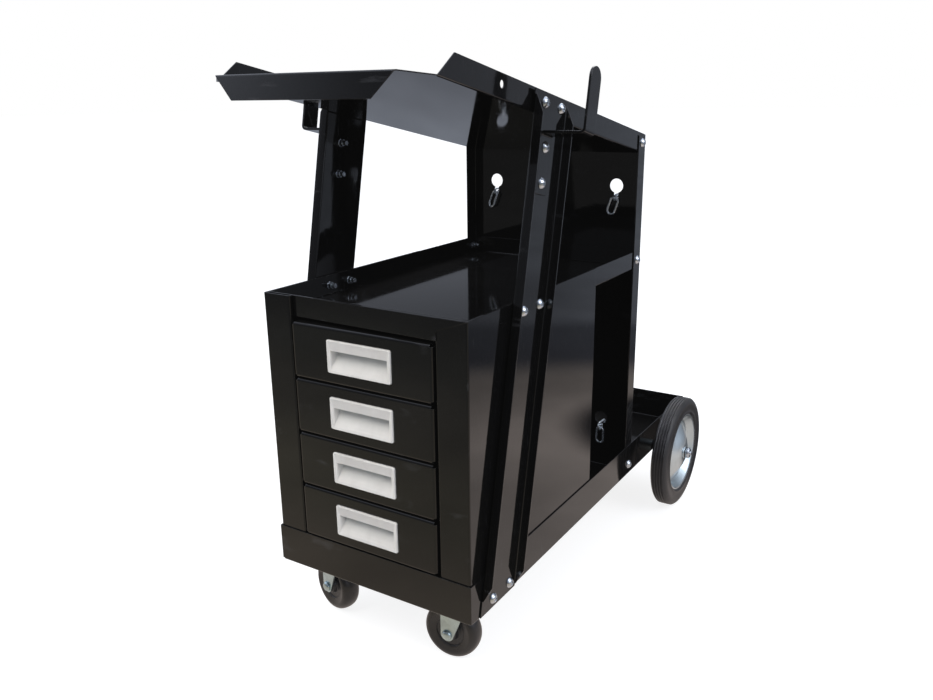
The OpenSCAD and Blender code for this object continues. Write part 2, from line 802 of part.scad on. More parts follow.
module axle_brackets() {
    half = bracket_w / 2;
    leg = 26;
    low = axle_z - base_z - axle_d / 2 - 8;
    color(black) cart() for (s = [-1, 1]) on_side(s) difference() {
        translate([bracket_x, axle_y, base_z]) {
            translate([-leg, -half, -bracket_t]) cube([leg, bracket_w, bracket_t]);
            translate([-bracket_t, 0, 0]) rotate([90, 0, 90]) linear_extrude(bracket_t)
                polygon([[-half, 0], [half, 0], [half, -6], [half - 9, low], [9 - half, low], [-half, -6]]);
        }
        translate([0, axle_y, axle_z]) rotate([0, 90, 0]) cylinder(d = axle_d + 0.1, h = big);
        bracket_holes();
    }
}

module axle_bracket_bolts() {
    grip = sheet + bracket_t;
    color(zinc) cart() for (s = [-1, 1], y = [-1, 1])
        translate([s * (bracket_x - 14), axle_y + y * bracket_bolt_y, base_z + sheet]) rotate([0, -90, 0]) {
            bolt(grip + nut_h + 1);
            translate([-grip, 0, 0]) nut();
        }
}

module rear_axle() {
    color(zinc) cart() translate([-axle_end, axle_y, axle_z]) rotate([0, 90, 0])
        cylinder(d = axle_d, h = 2 * axle_end);
}

// Collars clamped on the axle inside the wheels
module axle_collars() {
    x0 = pan_x + 1;
    x1 = wheel_x - 3 - 0.3;
    color(zinc) cart() for (s = [-1, 1]) on_side(s)
        translate([x0, axle_y, axle_z]) rotate([0, 90, 0]) difference() {
        cylinder(r = axle_d / 2 + 4, h = x1 - x0);
        translate([0, 0, -1]) cylinder(d = axle_d + 0.1, h = x1 - x0 + 2);
    }
}

// Domed push caps on the axle's ends
module axle_caps() {
    cap_r = axle_d / 2 + 2.5;
    x0 = wheel_x + wheel_w + 3 + 0.3;
    color(zinc) cart() for (s = [-1, 1]) on_side(s)
        translate([x0, axle_y, axle_z]) rotate([0, 90, 0]) difference() {
        rotate_extrude() {
            square([cap_r + 2, 1.2]);
            square([cap_r, axle_end - x0]);
            translate([0, axle_end - x0]) intersection() {
                translate([0, 3 - cap_r * 1.6]) circle(cap_r * 1.6);
                square([cap_r, 4]);
            }
        }
        translate([0, 0, -1]) cylinder(d = axle_d + 0.04, h = axle_end - x0 + 1);
    }
}

// Places a wheel's section, turned about the rear axle; its middle is at x = 0
module wheel_place(side) {
    on_side(side) translate([wheel_x + wheel_w / 2, axle_y, axle_z]) rotate([0, 90, 0]) children();
}

// Pressed rim: two dished discs that meet in the middle and carry the tyre's bead
module wheel_rim(side) {
    t = 1.5;
    edge = wheel_w / 2 - 4;
    hub_half = wheel_w / 2 + 3;
    half = [[hub_r, hub_half], [hub_r, 6], [hub_r + hub_flare, 3.2], [rim_r - rim_dish, 3.2],
        [rim_r - rim_step, edge - 2],
        [rim_r - 7, edge - 1], [rim_r - 4, edge], [rim_r - 1, edge + 1.5], [rim_r, edge + 0.5],
        [rim_r - 3, edge - t], [rim_r - 5, edge - t - 1], [rim_r - 9, 3]];
    other = [for (k = [len(half) - 1:-1:0]) [half[k][0], -half[k][1]]];
    color(zinc) cart() wheel_place(side) rotate_extrude()
        polygon(concat([[bush_r, hub_half]], half, other, [[bush_r, -hub_half]]));
}

// Solid rubber tyre with a round-shouldered tread and ribs
module wheel_tyre(side) {
    edge = wheel_w / 2;
    seat = rim_r - 9;
    groove = 1.4;
    c = 0.02;
    color(rubber) cart() wheel_place(side) rotate_extrude($fn = 96) difference() {
        intersection() {
            translate([seat + 0.02, -edge]) square([wheel_r - seat, 2 * edge]);
            union() {
                translate([0, -edge + 9]) square([wheel_r, 2 * edge - 18]);
                square([2 * (wheel_r - 9), 2 * edge], center = true);
                for (s = [-1, 1]) translate([wheel_r - 9, s * (edge - 9)]) circle(9);
            }
        }
        for (s = [-1, 1]) mirror([0, s < 0 ? 1 : 0])
            polygon([[seat - 1, 3 - c], [seat + c, 3 - c], [rim_r - 5 + c, edge - 6.5 - c],
                [rim_r - 3 + c, edge - 5.5 - c], [rim_r + c, edge - 3.5 - c], [rim_r + c, edge - 3.5 + c],
                [rim_r - 1 + c, edge - 2.5 + c], [rim_r, edge + 1], [seat - 1, edge + 1]]);
        for (z = [-6.5, -2.2, 2.2, 6.5]) translate([wheel_r, z]) circle(groove, $fn = 16);
    }
}

module wheel_bush(side) {
    half = wheel_w / 2 + 3;
    color(rubber) cart() wheel_place(side) difference() {
        translate([0, 0, -half]) cylinder(r = bush_r - 0.02, h = 2 * half);
        translate([0, 0, -half - 1]) cylinder(r = axle_d / 2 + bore_play, h = 2 * half + 2);
    }
}

// Places a caster's parts: kingpin on the Z axis, trail towards +X
module caster_place(side) {
    translate([side * caster_x, caster_y, 0])
        rotate(side < 0 ? caster_turn_left : caster_turn_right) children();
}

module caster_holes() {
    for (s = [-1, 1], x = [-1, 1], y = [-1, 1])
        translate([s * caster_x + x * plate_pitch / 2, caster_y + y * plate_pitch / 2, base_z - 10])
            cylinder(d = bolt_d + 2 * hole_play, h = 20);
}

// Square plate with the upper race pressed into it
module caster_plate(side) {
    z = base_z - caster_t;
    color(zinc) cart() difference() {
        translate([side * caster_x, caster_y, 0]) {
            translate([0, 0, z]) linear_extrude(caster_t) round_rect(plate_w, plate_w, 6);
            translate([0, 0, z - race_h]) cylinder(r1 = race_r - 2, r2 = race_r, h = race_h, $fn = 64);
        }
        translate([side * caster_x, caster_y, z - race_h - 1])
            cylinder(d = pin_d, h = race_h + caster_t + 2);
        caster_holes();
    }
}

module caster_bolts() {
    grip = sheet + caster_t;
    color(zinc) cart() for (s = [-1, 1], x = [-1, 1], y = [-1, 1])
        translate([s * caster_x + x * plate_pitch / 2, caster_y + y * plate_pitch / 2, base_z + sheet])
            rotate([0, -90, 0]) {
                bolt(grip + nut_h + 1);
                translate([-grip, 0, 0]) nut();
            }
}

// Kingpin: through the plate, with a riveted head under the fork
module caster_pin(side) {
    top = base_z;
    low = fork_top - caster_t - 4;
    color(zinc) cart() translate([side * caster_x, caster_y, 0]) {
        translate([0, 0, low]) cylinder(d = pin_d - 0.04, h = top - low);
        translate([0, 0, low]) cylinder(d = pin_d + 8, h = 4 - head_gap);
    }
}

// Leg outline seen from the side: upright behind the axle, slanting forward in front of it
leg_boss = 8.5;
leg_front = -10;
module fork_leg() {
    top = fork_top - caster_t;
    dx = caster_trail - leg_front;
    dz = top - caster_r;
    reach = sqrt(dx * dx + dz * dz);
    touch = atan2(dz, -dx) + acos(leg_boss / reach);
    translate([caster_trail, caster_r]) circle(leg_boss);
    polygon([[leg_front, top], [caster_trail + leg_boss * cos(touch), caster_r + leg_boss * sin(touch)],
        [caster_trail, caster_r], [caster_trail + leg_boss, caster_r], [caster_trail + leg_boss, top]]);
}

module caster_fork(side) {
    crown_r = race_r + 1;
    color(zinc) cart() caster_place(side) difference() {
        union() {
            translate([0, 0, fork_top - caster_t]) cylinder(r = crown_r, h = caster_t, $fn = 64);
            intersection() {
                translate([leg_front, -fork_in - caster_t, fork_top - caster_t])
                    cube([caster_trail + leg_boss - leg_front, 2 * (fork_in + caster_t), caster_t]);
                cylinder(r = crown_r + 10, h = fork_top + 1);
            }
            for (s = [-1, 1]) translate([0, s * (fork_in + caster_t / 2) + caster_t / 2, 0])
                rotate([90, 0, 0]) linear_extrude(caster_t) fork_leg();
        }
        translate([0, 0, fork_top - caster_t - 1]) cylinder(d = pin_d + 0.12, h = caster_t + 2);
        translate([caster_trail, -caster_d, caster_r]) rotate([-90, 0, 0])
            cylinder(d = caster_axle_d + 0.1, h = 2 * caster_d);
    }
}

module caster_hub(side) {
    half = fork_in - 0.4;
    color(ivory) cart() caster_place(side)
        translate([caster_trail, 0, caster_r]) rotate([-90, 0, 0]) difference() {
        rotate_extrude() {
            translate([0, -half]) square([10, 2 * half]);
            translate([0, -caster_w / 2 + bead]) square([caster_r - tread, caster_w - 2 * bead]);
        }
        translate([0, 0, -half - 1]) cylinder(r = caster_axle_d / 2 + bore_play, h = 2 * half + 2);
    }
}

module caster_tyre(side) {
    r = tread_round;
    edge = caster_w / 2;
    seat = caster_r - tread;
    color(rubber) cart() caster_place(side) translate([caster_trail, 0, caster_r]) rotate([-90, 0, 0])
        rotate_extrude($fn = 72) difference() {
            intersection() {
                translate([seat - 5, -edge]) square([caster_r, 2 * edge]);
                union() {
                    translate([0, -edge + r]) square([caster_r, 2 * (edge - r)]);
                    translate([0, -edge]) square([caster_r - r, 2 * edge]);
                    for (s = [-1, 1]) translate([caster_r - r, s * (edge - r)]) circle(r);
                }
            }
            translate([0, -edge + bead - 0.02]) square([seat + 0.02, 2 * (edge - bead) + 0.04]);
        }
}

// Axle bolt through the fork's legs, with its nut
module caster_axle(side) {
    reach = fork_in + caster_t;
    color(zinc) cart() caster_place(side) translate([caster_trail, 0, caster_r]) rotate([90, 0, 0]) {
        translate([0, 0, -reach - 6]) cylinder(d = caster_axle_d, h = 2 * reach + 9);
        translate([0, 0, reach]) cylinder(d = 13 / cos(30), h = 5, $fn = 6);
        translate([0, 0, -reach - 5]) cylinder(d = 13 / cos(30), h = 5, $fn = 6);
    }
}

base_pan();
cabinet_shell();
middle_tray();
rear_panel();
top_tray();
upright(-1);  // upright_left
upright(1);  // upright_right
cable_hook(-1);  // cable_hook_left
cable_hook(1);  // cable_hook_right
upright_spacers();
drawer_guide(-1);  // drawer_guide_left
drawer_guide(1);  // drawer_guide_right
drawer_box(1);  // drawer_box_1
drawer_box(2);  // drawer_box_2
drawer_box(3);  // drawer_box_3
drawer_box(4);  // drawer_box_4
drawer_front(1);  // drawer_front_1
drawer_front(2);  // drawer_front_2
drawer_front(3);  // drawer_front_3
drawer_front(4);  // drawer_front_4
drawer_handle(1);  // drawer_handle_1
drawer_handle(2);  // drawer_handle_2
drawer_handle(3);  // drawer_handle_3
drawer_handle(4);  // drawer_handle_4
frame_bolts();
frame_nuts();
upper_chain();
lower_chain();
axle_brackets();
axle_bracket_bolts();
rear_axle();
axle_collars();
axle_caps();
wheel_rim(-1);  // wheel_rim_left
wheel_rim(1);  // wheel_rim_right
wheel_tyre(-1);  // wheel_tyre_left
wheel_tyre(1);  // wheel_tyre_right
wheel_bush(-1);  // wheel_bush_left
wheel_bush(1);  // wheel_bush_right
caster_plate(-1);  // caster_plate_left
caster_plate(1);  // caster_plate_right
caster_bolts();
caster_fork(-1);  // caster_fork_left
caster_fork(1);  // caster_fork_right
caster_pin(-1);  // caster_pin_left
caster_pin(1);  // caster_pin_right
caster_hub(-1);  // caster_hub_left
caster_hub(1);  // caster_hub_right
caster_tyre(-1);  // caster_tyre_left
caster_tyre(1);  // caster_tyre_right
caster_axle(-1);  // caster_axle_left
caster_axle(1);  // caster_axle_right
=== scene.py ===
import json
import math
import bmesh
import bpy
import numpy as np
from mathutils import Matrix, Vector

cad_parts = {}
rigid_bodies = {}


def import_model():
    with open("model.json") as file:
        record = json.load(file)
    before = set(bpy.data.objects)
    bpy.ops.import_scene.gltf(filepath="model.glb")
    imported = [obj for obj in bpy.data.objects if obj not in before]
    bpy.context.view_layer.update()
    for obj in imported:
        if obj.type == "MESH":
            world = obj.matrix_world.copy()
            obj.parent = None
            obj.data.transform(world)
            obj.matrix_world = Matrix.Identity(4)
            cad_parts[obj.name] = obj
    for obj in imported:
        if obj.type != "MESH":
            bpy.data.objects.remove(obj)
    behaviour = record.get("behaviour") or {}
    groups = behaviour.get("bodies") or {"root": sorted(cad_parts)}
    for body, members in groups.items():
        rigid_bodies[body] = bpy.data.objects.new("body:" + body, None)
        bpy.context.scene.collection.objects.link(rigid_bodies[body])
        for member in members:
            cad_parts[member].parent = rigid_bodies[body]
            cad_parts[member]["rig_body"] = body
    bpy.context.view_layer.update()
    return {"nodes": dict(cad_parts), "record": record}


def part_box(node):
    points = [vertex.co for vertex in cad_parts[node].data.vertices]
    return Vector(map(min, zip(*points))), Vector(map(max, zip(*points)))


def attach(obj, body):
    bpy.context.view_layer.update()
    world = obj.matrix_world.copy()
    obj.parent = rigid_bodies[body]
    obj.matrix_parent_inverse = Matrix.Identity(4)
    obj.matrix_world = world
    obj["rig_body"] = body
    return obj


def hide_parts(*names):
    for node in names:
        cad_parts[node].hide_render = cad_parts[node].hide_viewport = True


# Welding cart, dressed. Metres, +Z up, drawers towards -Y, the cart's middle over the origin.
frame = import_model()
cadNodes = frame["nodes"]
scene = bpy.context.scene
print("cart loaded:", len(cadNodes), "nodes")

mm = 0.001
midY = 0.317144  # what is taken off a length measured back from the cabinet's front
sides = (("left", -1), ("right", 1))

shot = {
    "place": (0.5643, -0.99564, 0.6513),
    "azimuth": 32.23,      # degrees to the cart's right of straight in front
    "pitch": 16.64,        # degrees downwards
    "roll": -0.70,
    "lens": 32.62,
    "veil": 0.0024,        # how much the blacks are lifted
}


def addCamera(s):
    # forward from azimuth and pitch, right and up square to it, both turned by the roll
    az, pit, rol = (math.radians(s[k]) for k in ("azimuth", "pitch", "roll"))
    forward = Vector((-math.sin(az) * math.cos(pit), math.cos(az) * math.cos(pit), -math.sin(pit)))
    right = forward.cross(Vector((0, 0, 1))).normalized()
    up = right.cross(forward)
    right2 = right * math.cos(rol) + up * math.sin(rol)
    up2 = up * math.cos(rol) - right * math.sin(rol)
    data = bpy.data.cameras.new("shotCamera")
    data.lens, data.sensor_width, data.sensor_fit = s["lens"], 36.0, "HORIZONTAL"
    data.clip_end = 200
    cam = bpy.data.objects.new("shotCamera", data)
    scene.collection.objects.link(cam)
    cam.matrix_world = Matrix((
        (right2.x, up2.x, -forward.x, s["place"][0]),
        (right2.y, up2.y, -forward.y, s["place"][1]),
        (right2.z, up2.z, -forward.z, s["place"][2]),
        (0, 0, 0, 1)))
    scene.camera = cam


addCamera(shot)
scene.view_settings.view_transform = "Standard"
scene.view_settings.look = "None"
scene.view_settings.use_curve_mapping = True   # a white backdrop lays a faint veil over the blacks
scene.view_settings.curve_mapping.curves[3].points[0].location = (0.0, shot["veil"])
scene.view_settings.curve_mapping.update()

studio = {
    "horizon": (0.11, 0.33),   # brightness of the sky's lowest part before the cart and behind it
    "sky": (0.17, 1.35),       # higher up, before or behind the cart and to its sides
    "zenith": 1.1,
    # shares of the direction's length at which one part of the sky starts and ends its change to the next
    "slant": 0.45, "backwards": (-0.5, 0.5), "sideways": (0.60, 0.85), "rising": (0.08, 0.30), "overhead": (0.50, 0.85),
    "skyColour": (0.85, 0.91, 1.06, 1),
    # what glossy sheet mirrors of the floor, by the distance in front of the cart and round it
    "floorFront": [(0.10, (0.60, 0.51, 0.41)), (0.32, (0.44, 0.40, 0.31)), (0.70, (0.30, 0.28, 0.24)),
                   (1.00, (0.19, 0.19, 0.17)), (1.50, (0.12, 0.12, 0.12))],
    "floorRound": [(0.30, (0.66, 0.58, 0.54)), (0.65, (0.86, 0.75, 0.70)), (0.92, (0.52, 0.46, 0.43)),
                   (1.12, (0.10, 0.105, 0.13)), (1.38, (0.12, 0.13, 0.16)), (1.55, (0.26, 0.28, 0.33)),
                   (3.0, (0.31, 0.34, 0.40))],
    "frontLine": -0.34, "frontFade": (-0.12, 0.04),   # where the floor in front begins, and the change to it
    "wheelShadow": ((0.21, 0.58), 0.16, 0.25),   # dark patch that the pan mirrors: middle, start and end of its fading
    "shadowTone": (0.03, 0.03, 0.035),
    "floorGlow": 0.84,     # lit floor as it is seen
    "floorShade": 0.34,    # and how much of it the cart's shadow takes away
    "lamps": [  # name, place, size, power, colour
        ("frontLamp", (-0.7, -2.1, 2.9), 2.0, 66, (1.0, 0.985, 0.96)),
        ("sideLamp", (2.6, -0.3, 2.3), 2.0, 30, (0.97, 0.985, 1.0)),
        ("backLamp", (-0.9, 2.4, 2.7), 2.2, 28, (1.0, 1.0, 1.0)),
    ],
    "aim": (0, 0, 0.35),   # all lamps point here
}


def node(tree, kind, place=(0, 0), **values):
    # a shader node; values are its properties, or its sockets where the name has a capital
    n = tree.nodes.new(kind)
    n.location = place
    for key, value in values.items():
        if key[0].isupper():
            n.inputs[key.replace("_", " ")].default_value = value
        else:
            setattr(n, key, value)
    return n


def sums(tree, kind, a, b=None, clamp=False):
    # one Math node; a and b are sockets or numbers
    n = node(tree, "ShaderNodeMath", operation=kind, use_clamp=clamp)
    for i, v in enumerate((a, b)):
        if isinstance(v, (int, float)):
            n.inputs[i].default_value = v
        elif v is not None:
            tree.links.new(v, n.inputs[i])
    return n.outputs[0]


def blendColour(tree, mask, a, b):
    # colour a where the mask is 0, colour b where it is 1
    n = node(tree, "ShaderNodeMix", data_type="RGBA")
    for i, v in ((0, mask), (6, a), (7, b)):
        if isinstance(v, (int, float)):
            n.inputs[i].default_value = v
        elif isinstance(v, tuple):
            n.inputs[i].default_value = (*v, 1)
        else:
            tree.links.new(v, n.inputs[i])
    return n.outputs[2]


def ramp(tree, value, stops):
    # colours along a length in metres, blended smoothly between the given stops
    longest = stops[-1][0]
    n = node(tree, "ShaderNodeValToRGB")
    n.color_ramp.interpolation = "EASE"
    marks = n.color_ramp.elements
    while len(marks) < len(stops):
        marks.new(0.5)
    for mark, (at, colour) in zip(marks, stops):
        mark.position, mark.color = at / longest, (*colour, 1)
    tree.links.new(sums(tree, "DIVIDE", value, longest, clamp=True), n.inputs[0])
    return n.outputs["Color"]


def spread(tree, value, lowIn, highIn, lowOut=0.0, highOut=1.0):
    # smooth step between two input values, each of lowOut and highOut a number or a socket
    n = node(tree, "ShaderNodeMapRange", interpolation_type="SMOOTHSTEP", From_Min=lowIn, From_Max=highIn)
    tree.links.new(value, n.inputs["Value"])
    for label, v in (("To Min", lowOut), ("To Max", highOut)):
        if isinstance(v, (int, float)):
            n.inputs[label].default_value = v
        else:
            tree.links.new(v, n.inputs[label])
    return n.outputs[0]


def lightWorld(s):
    # white where the camera sees it; elsewhere dim, but for the sky at the cart's sides and overhead
    world = bpy.data.worlds.new("studioSky")
    scene.world = world
    world.use_nodes = True
    t = world.node_tree
    t.nodes.clear()
    direction = node(t, "ShaderNodeTexCoord")
    axes = node(t, "ShaderNodeSeparateXYZ")
    t.links.new(direction.outputs["Generated"], axes.inputs[0])
    behind = sums(t, "ADD", axes.outputs["Y"], sums(t, "MULTIPLY", axes.outputs["X"], s["slant"]))
    low = spread(t, behind, *s["backwards"], *s["horizon"])
    high = spread(t, sums(t, "ABSOLUTE", axes.outputs["X"]), *s["sideways"], *s["sky"])
    level = spread(t, axes.outputs["Z"], *s["rising"], low, high)
    top = spread(t, axes.outputs["Z"], *s["overhead"], level, s["zenith"])
    sky = node(t, "ShaderNodeBackground", Color=s["skyColour"])
    t.links.new(top, sky.inputs["Strength"])
    white = node(t, "ShaderNodeBackground", Color=(1, 1, 1, 1), Strength=1.0)
    path = node(t, "ShaderNodeLightPath")
    pick = node(t, "ShaderNodeMixShader")
    t.links.new(path.outputs["Is Camera Ray"], pick.inputs[0])
    t.links.new(sky.outputs[0], pick.inputs[1])
    t.links.new(white.outputs[0], pick.inputs[2])
    t.links.new(pick.outputs[0], node(t, "ShaderNodeOutputWorld").inputs[0])


def makeFloor(s):
    # a wide pale floor; in mirror reflections its tone changes with the distance before and round the cart
    mesh = bpy.data.meshes.new("studioFloor")
    edge = 40.0
    mesh.from_pydata([(-edge, -edge, 0), (edge, -edge, 0), (edge, edge, 0), (-edge, edge, 0)], [], [(0, 1, 2, 3)])
    floor = bpy.data.objects.new("studioFloor", mesh)
    scene.collection.objects.link(floor)
    mat = bpy.data.materials.new("floorPaper")
    mat.use_nodes = True
    t = mat.node_tree
    t.nodes.clear()
    place = node(t, "ShaderNodeTexCoord")
    axes = node(t, "ShaderNodeSeparateXYZ")
    t.links.new(place.outputs["Object"], axes.inputs[0])
    span = node(t, "ShaderNodeVectorMath", operation="LENGTH")
    t.links.new(place.outputs["Object"], span.inputs[0])
    grain = node(t, "ShaderNodeTexNoise", Scale=2.3, Detail=4.0, Roughness=0.6)
    t.links.new(place.outputs["Object"], grain.inputs["Vector"])
    tone = node(t, "ShaderNodeMapRange", From_Min=0.3, From_Max=0.7, To_Min=0.78, To_Max=1.22)
    t.links.new(grain.outputs["Fac"], tone.inputs["Value"])
    inFront = sums(t, "SUBTRACT", s["frontLine"], axes.outputs["Y"])
    beside = blendColour(t, spread(t, inFront, *s["frontFade"]), ramp(t, span.outputs["Value"], s["floorRound"]),
                         ramp(t, inFront, s["floorFront"]))
    (sx, sy), dark, clear = s["wheelShadow"]
    off = [sums(t, "MULTIPLY", d, d) for d in (sums(t, "SUBTRACT", axes.outputs["X"], sx),
                                               sums(t, "SUBTRACT", axes.outputs["Y"], sy))]
    away = sums(t, "SQRT", sums(t, "ADD", *off))
    beside = blendColour(t, spread(t, away, dark, clear), s["shadowTone"], beside)
    uneven = node(t, "ShaderNodeMix", data_type="RGBA", blend_type="MULTIPLY")
    uneven.inputs[0].default_value = 1.0
    t.links.new(beside, uneven.inputs[6])
    t.links.new(tone.outputs[0], uneven.inputs[7])
    mirrored = node(t, "ShaderNodeEmission")
    t.links.new(uneven.outputs[2], mirrored.inputs["Color"])
    glow = node(t, "ShaderNodeEmission", Color=(1, 1, 1, 1), Strength=s["floorGlow"])
    shade = node(t, "ShaderNodeBsdfDiffuse", Color=(s["floorShade"],) * 3 + (1,))
    seen = node(t, "ShaderNodeAddShader")
    t.links.new(glow.outputs[0], seen.inputs[0])
    t.links.new(shade.outputs[0], seen.inputs[1])
    bounce = node(t, "ShaderNodeBsdfDiffuse", Color=(0.72, 0.72, 0.72, 1))
    path = node(t, "ShaderNodeLightPath")
    first = node(t, "ShaderNodeMixShader")
    t.links.new(path.outputs["Is Glossy Ray"], first.inputs[0])
    t.links.new(bounce.outputs[0], first.inputs[1])
    t.links.new(mirrored.outputs[0], first.inputs[2])
    second = node(t, "ShaderNodeMixShader")
    t.links.new(path.outputs["Is Camera Ray"], second.inputs[0])
    t.links.new(first.outputs[0], second.inputs[1])
    t.links.new(seen.outputs[0], second.inputs[2])
    t.links.new(second.outputs[0], node(t, "ShaderNodeOutputMaterial").inputs[0])
    mesh.materials.append(mat)


def addLamps(s):
    # round area lamps
    for name, place, size, power, colour in s["lamps"]:
        data = bpy.data.lights.new(name, "AREA")
        data.shape, data.size, data.energy, data.color = "DISK", size, power, colour
        lamp = bpy.data.objects.new(name, data)
        scene.collection.objects.link(lamp)
        lamp.location = place
        lamp.rotation_euler = (Vector(s["aim"]) - Vector(place)).to_track_quat("-Z", "Y").to_euler()
        lamp.visible_glossy = name != "frontLamp"   # so that no lamp shows in the gloss of the drawers


lightWorld(studio)
makeFloor(studio)
addLamps(studio)
print("studio ready")


def newGroup(name, inputs, outputs):
    # a shader group with numbers for inputs, its input node and its output node
    g = bpy.data.node_groups.new(name, "ShaderNodeTree")
    for label, value in inputs:
        g.interface.new_socket(label, in_out="INPUT", socket_type="NodeSocketFloat").default_value = value
    for label, kind in outputs:
        g.interface.new_socket(label, in_out="OUTPUT", socket_type="NodeSocket" + kind)
    return g, node(g, "NodeGroupInput", (-900, 0)), node(g, "NodeGroupOutput", (600, 0))


def peelGroup():
    # slow waves plus a third of them three times as fine: the skin of sprayed or cast surfaces
    g, i, o = newGroup("peelSkin", [("Scale", 300.0), ("Depth", 1.0)], [("Height", "Float")])
    at = node(g, "ShaderNodeTexCoord")
    coarse = node(g, "ShaderNodeTexNoise", Detail=1.0)
    fine = node(g, "ShaderNodeTexNoise", Detail=2.0)
    for n in (coarse, fine):
        g.links.new(at.outputs["Object"], n.inputs["Vector"])
    g.links.new(i.outputs["Scale"], coarse.inputs["Scale"])
    g.links.new(sums(g, "MULTIPLY", i.outputs["Scale"], 3.1), fine.inputs["Scale"])
    both = sums(g, "ADD", coarse.outputs["Fac"], sums(g, "MULTIPLY", fine.outputs["Fac"], 0.33))
    g.links.new(sums(g, "MULTIPLY", both, i.outputs["Depth"]), o.inputs["Height"])
    return g


def wearGroup():
    # where the rounded normal leaves the flat one there is an edge; noise breaks the worn line up
    g, i, o = newGroup("edgeWear", [("Radius", 0.0008), ("Amount", 0.5), ("Scale", 120.0)],
                       [("Mask", "Float"), ("Normal", "Vector")])
    soft = node(g, "ShaderNodeBevel", samples=6)
    g.links.new(i.outputs["Radius"], soft.inputs["Radius"])
    hard = node(g, "ShaderNodeNewGeometry")
    dot = node(g, "ShaderNodeVectorMath", operation="DOT_PRODUCT")
    g.links.new(soft.outputs[0], dot.inputs[0])
    g.links.new(hard.outputs["Normal"], dot.inputs[1])
    edge = node(g, "ShaderNodeMapRange", From_Min=0.995, From_Max=0.80)
    g.links.new(dot.outputs["Value"], edge.inputs["Value"])
    at = node(g, "ShaderNodeTexCoord")
    spots = node(g, "ShaderNodeTexNoise", Detail=4.0, Roughness=0.65)
    g.links.new(at.outputs["Object"], spots.inputs["Vector"])
    g.links.new(i.outputs["Scale"], spots.inputs["Scale"])
    broken = node(g, "ShaderNodeMapRange", From_Min=0.48, From_Max=0.66)
    g.links.new(spots.outputs["Fac"], broken.inputs["Value"])
    worn = sums(g, "MULTIPLY", edge.outputs[0], broken.outputs[0])
    g.links.new(sums(g, "MULTIPLY", worn, i.outputs["Amount"], clamp=True), o.inputs["Mask"])
    g.links.new(soft.outputs[0], o.inputs["Normal"])
    return g


def dustGroup():
    # upward share of the normal, squared, times cloudy noise
    g, i, o = newGroup("settledDust", [("Scale", 14.0), ("Amount", 0.1)], [("Mask", "Float")])
    flat = node(g, "ShaderNodeNewGeometry")
    axes = node(g, "ShaderNodeSeparateXYZ")
    g.links.new(flat.outputs["Normal"], axes.inputs[0])
    up = sums(g, "POWER", sums(g, "MAXIMUM", axes.outputs["Z"], 0.0), 2.0)
    at = node(g, "ShaderNodeTexCoord")
    cloud = node(g, "ShaderNodeTexNoise", Detail=6.0, Roughness=0.7)
    g.links.new(at.outputs["Object"], cloud.inputs["Vector"])
    g.links.new(i.outputs["Scale"], cloud.inputs["Scale"])
    thick = node(g, "ShaderNodeMapRange", From_Min=0.35, From_Max=0.75)
    g.links.new(cloud.outputs["Fac"], thick.inputs["Value"])
    both = sums(g, "MULTIPLY", up, sums(g, "ADD", sums(g, "MULTIPLY", thick.outputs[0], 0.8), 0.2))
    g.links.new(sums(g, "MULTIPLY", both, i.outputs["Amount"], clamp=True), o.inputs["Mask"])
    return g


def scratchGroup():
    # two long stretched noises, turned against each other and kept only at their crests
    g, i, o = newGroup("fineScratches", [("Scale", 9.0), ("Amount", 0.5)], [("Mask", "Float")])
    at = node(g, "ShaderNodeTexCoord")
    found = []
    for turn, stretch in (((0.5, 0.3, 0.9), (1, 34, 3)), ((1.1, -0.4, 2.3), (1.6, 41, 4))):
        lay = node(g, "ShaderNodeMapping", Rotation=turn, Scale=stretch)
        g.links.new(at.outputs["Object"], lay.inputs["Vector"])
        n = node(g, "ShaderNodeTexNoise", Detail=3.0, Roughness=0.55)
        g.links.new(lay.outputs[0], n.inputs["Vector"])
        g.links.new(i.outputs["Scale"], n.inputs["Scale"])
        crest = node(g, "ShaderNodeMapRange", From_Min=0.665, From_Max=0.74)
        g.links.new(n.outputs["Fac"], crest.inputs["Value"])
        found.append(crest.outputs[0])
    g.links.new(sums(g, "MULTIPLY", sums(g, "MAXIMUM", *found), i.outputs["Amount"], clamp=True), o.inputs["Mask"])
    return g


def mottleGroup():
    # cloudy value about 0, plus and minus Spread
    g, i, o = newGroup("mottle", [("Scale", 20.0), ("Spread", 0.1)], [("Value", "Float")])
    at = node(g, "ShaderNodeTexCoord")
    n = node(g, "ShaderNodeTexNoise", Detail=5.0, Roughness=0.6, Distortion=0.4)
    g.links.new(at.outputs["Object"], n.inputs["Vector"])
    g.links.new(i.outputs["Scale"], n.inputs["Scale"])
    swing = node(g, "ShaderNodeMapRange", From_Min=0.3, From_Max=0.7, To_Min=-1.0, To_Max=1.0)
    g.links.new(n.outputs["Fac"], swing.inputs["Value"])
    g.links.new(sums(g, "MULTIPLY", swing.outputs[0], i.outputs["Spread"]), o.inputs["Value"])
    return g


effects = {"peel": peelGroup(), "wear": wearGroup(), "dust": dustGroup(),
           "scratches": scratchGroup(), "mottle": mottleGroup()}


def use(tree, effect, **values):
    # one of the effects with its own values
    return node(tree, "ShaderNodeGroup", node_tree=effects[effect], **values)


def newMaterial(name, **values):
    # a material, its tree and its shader; values are constants on the shader's sockets
    mat = bpy.data.materials.new(name)
    mat.use_nodes = True
    t = mat.node_tree
    t.nodes.clear()
    skin = node(t, "ShaderNodeBsdfPrincipled", (700, 0), **values)
    t.links.new(skin.outputs[0], node(t, "ShaderNodeOutputMaterial", (1000, 0)).inputs[0])
    return mat, t, skin


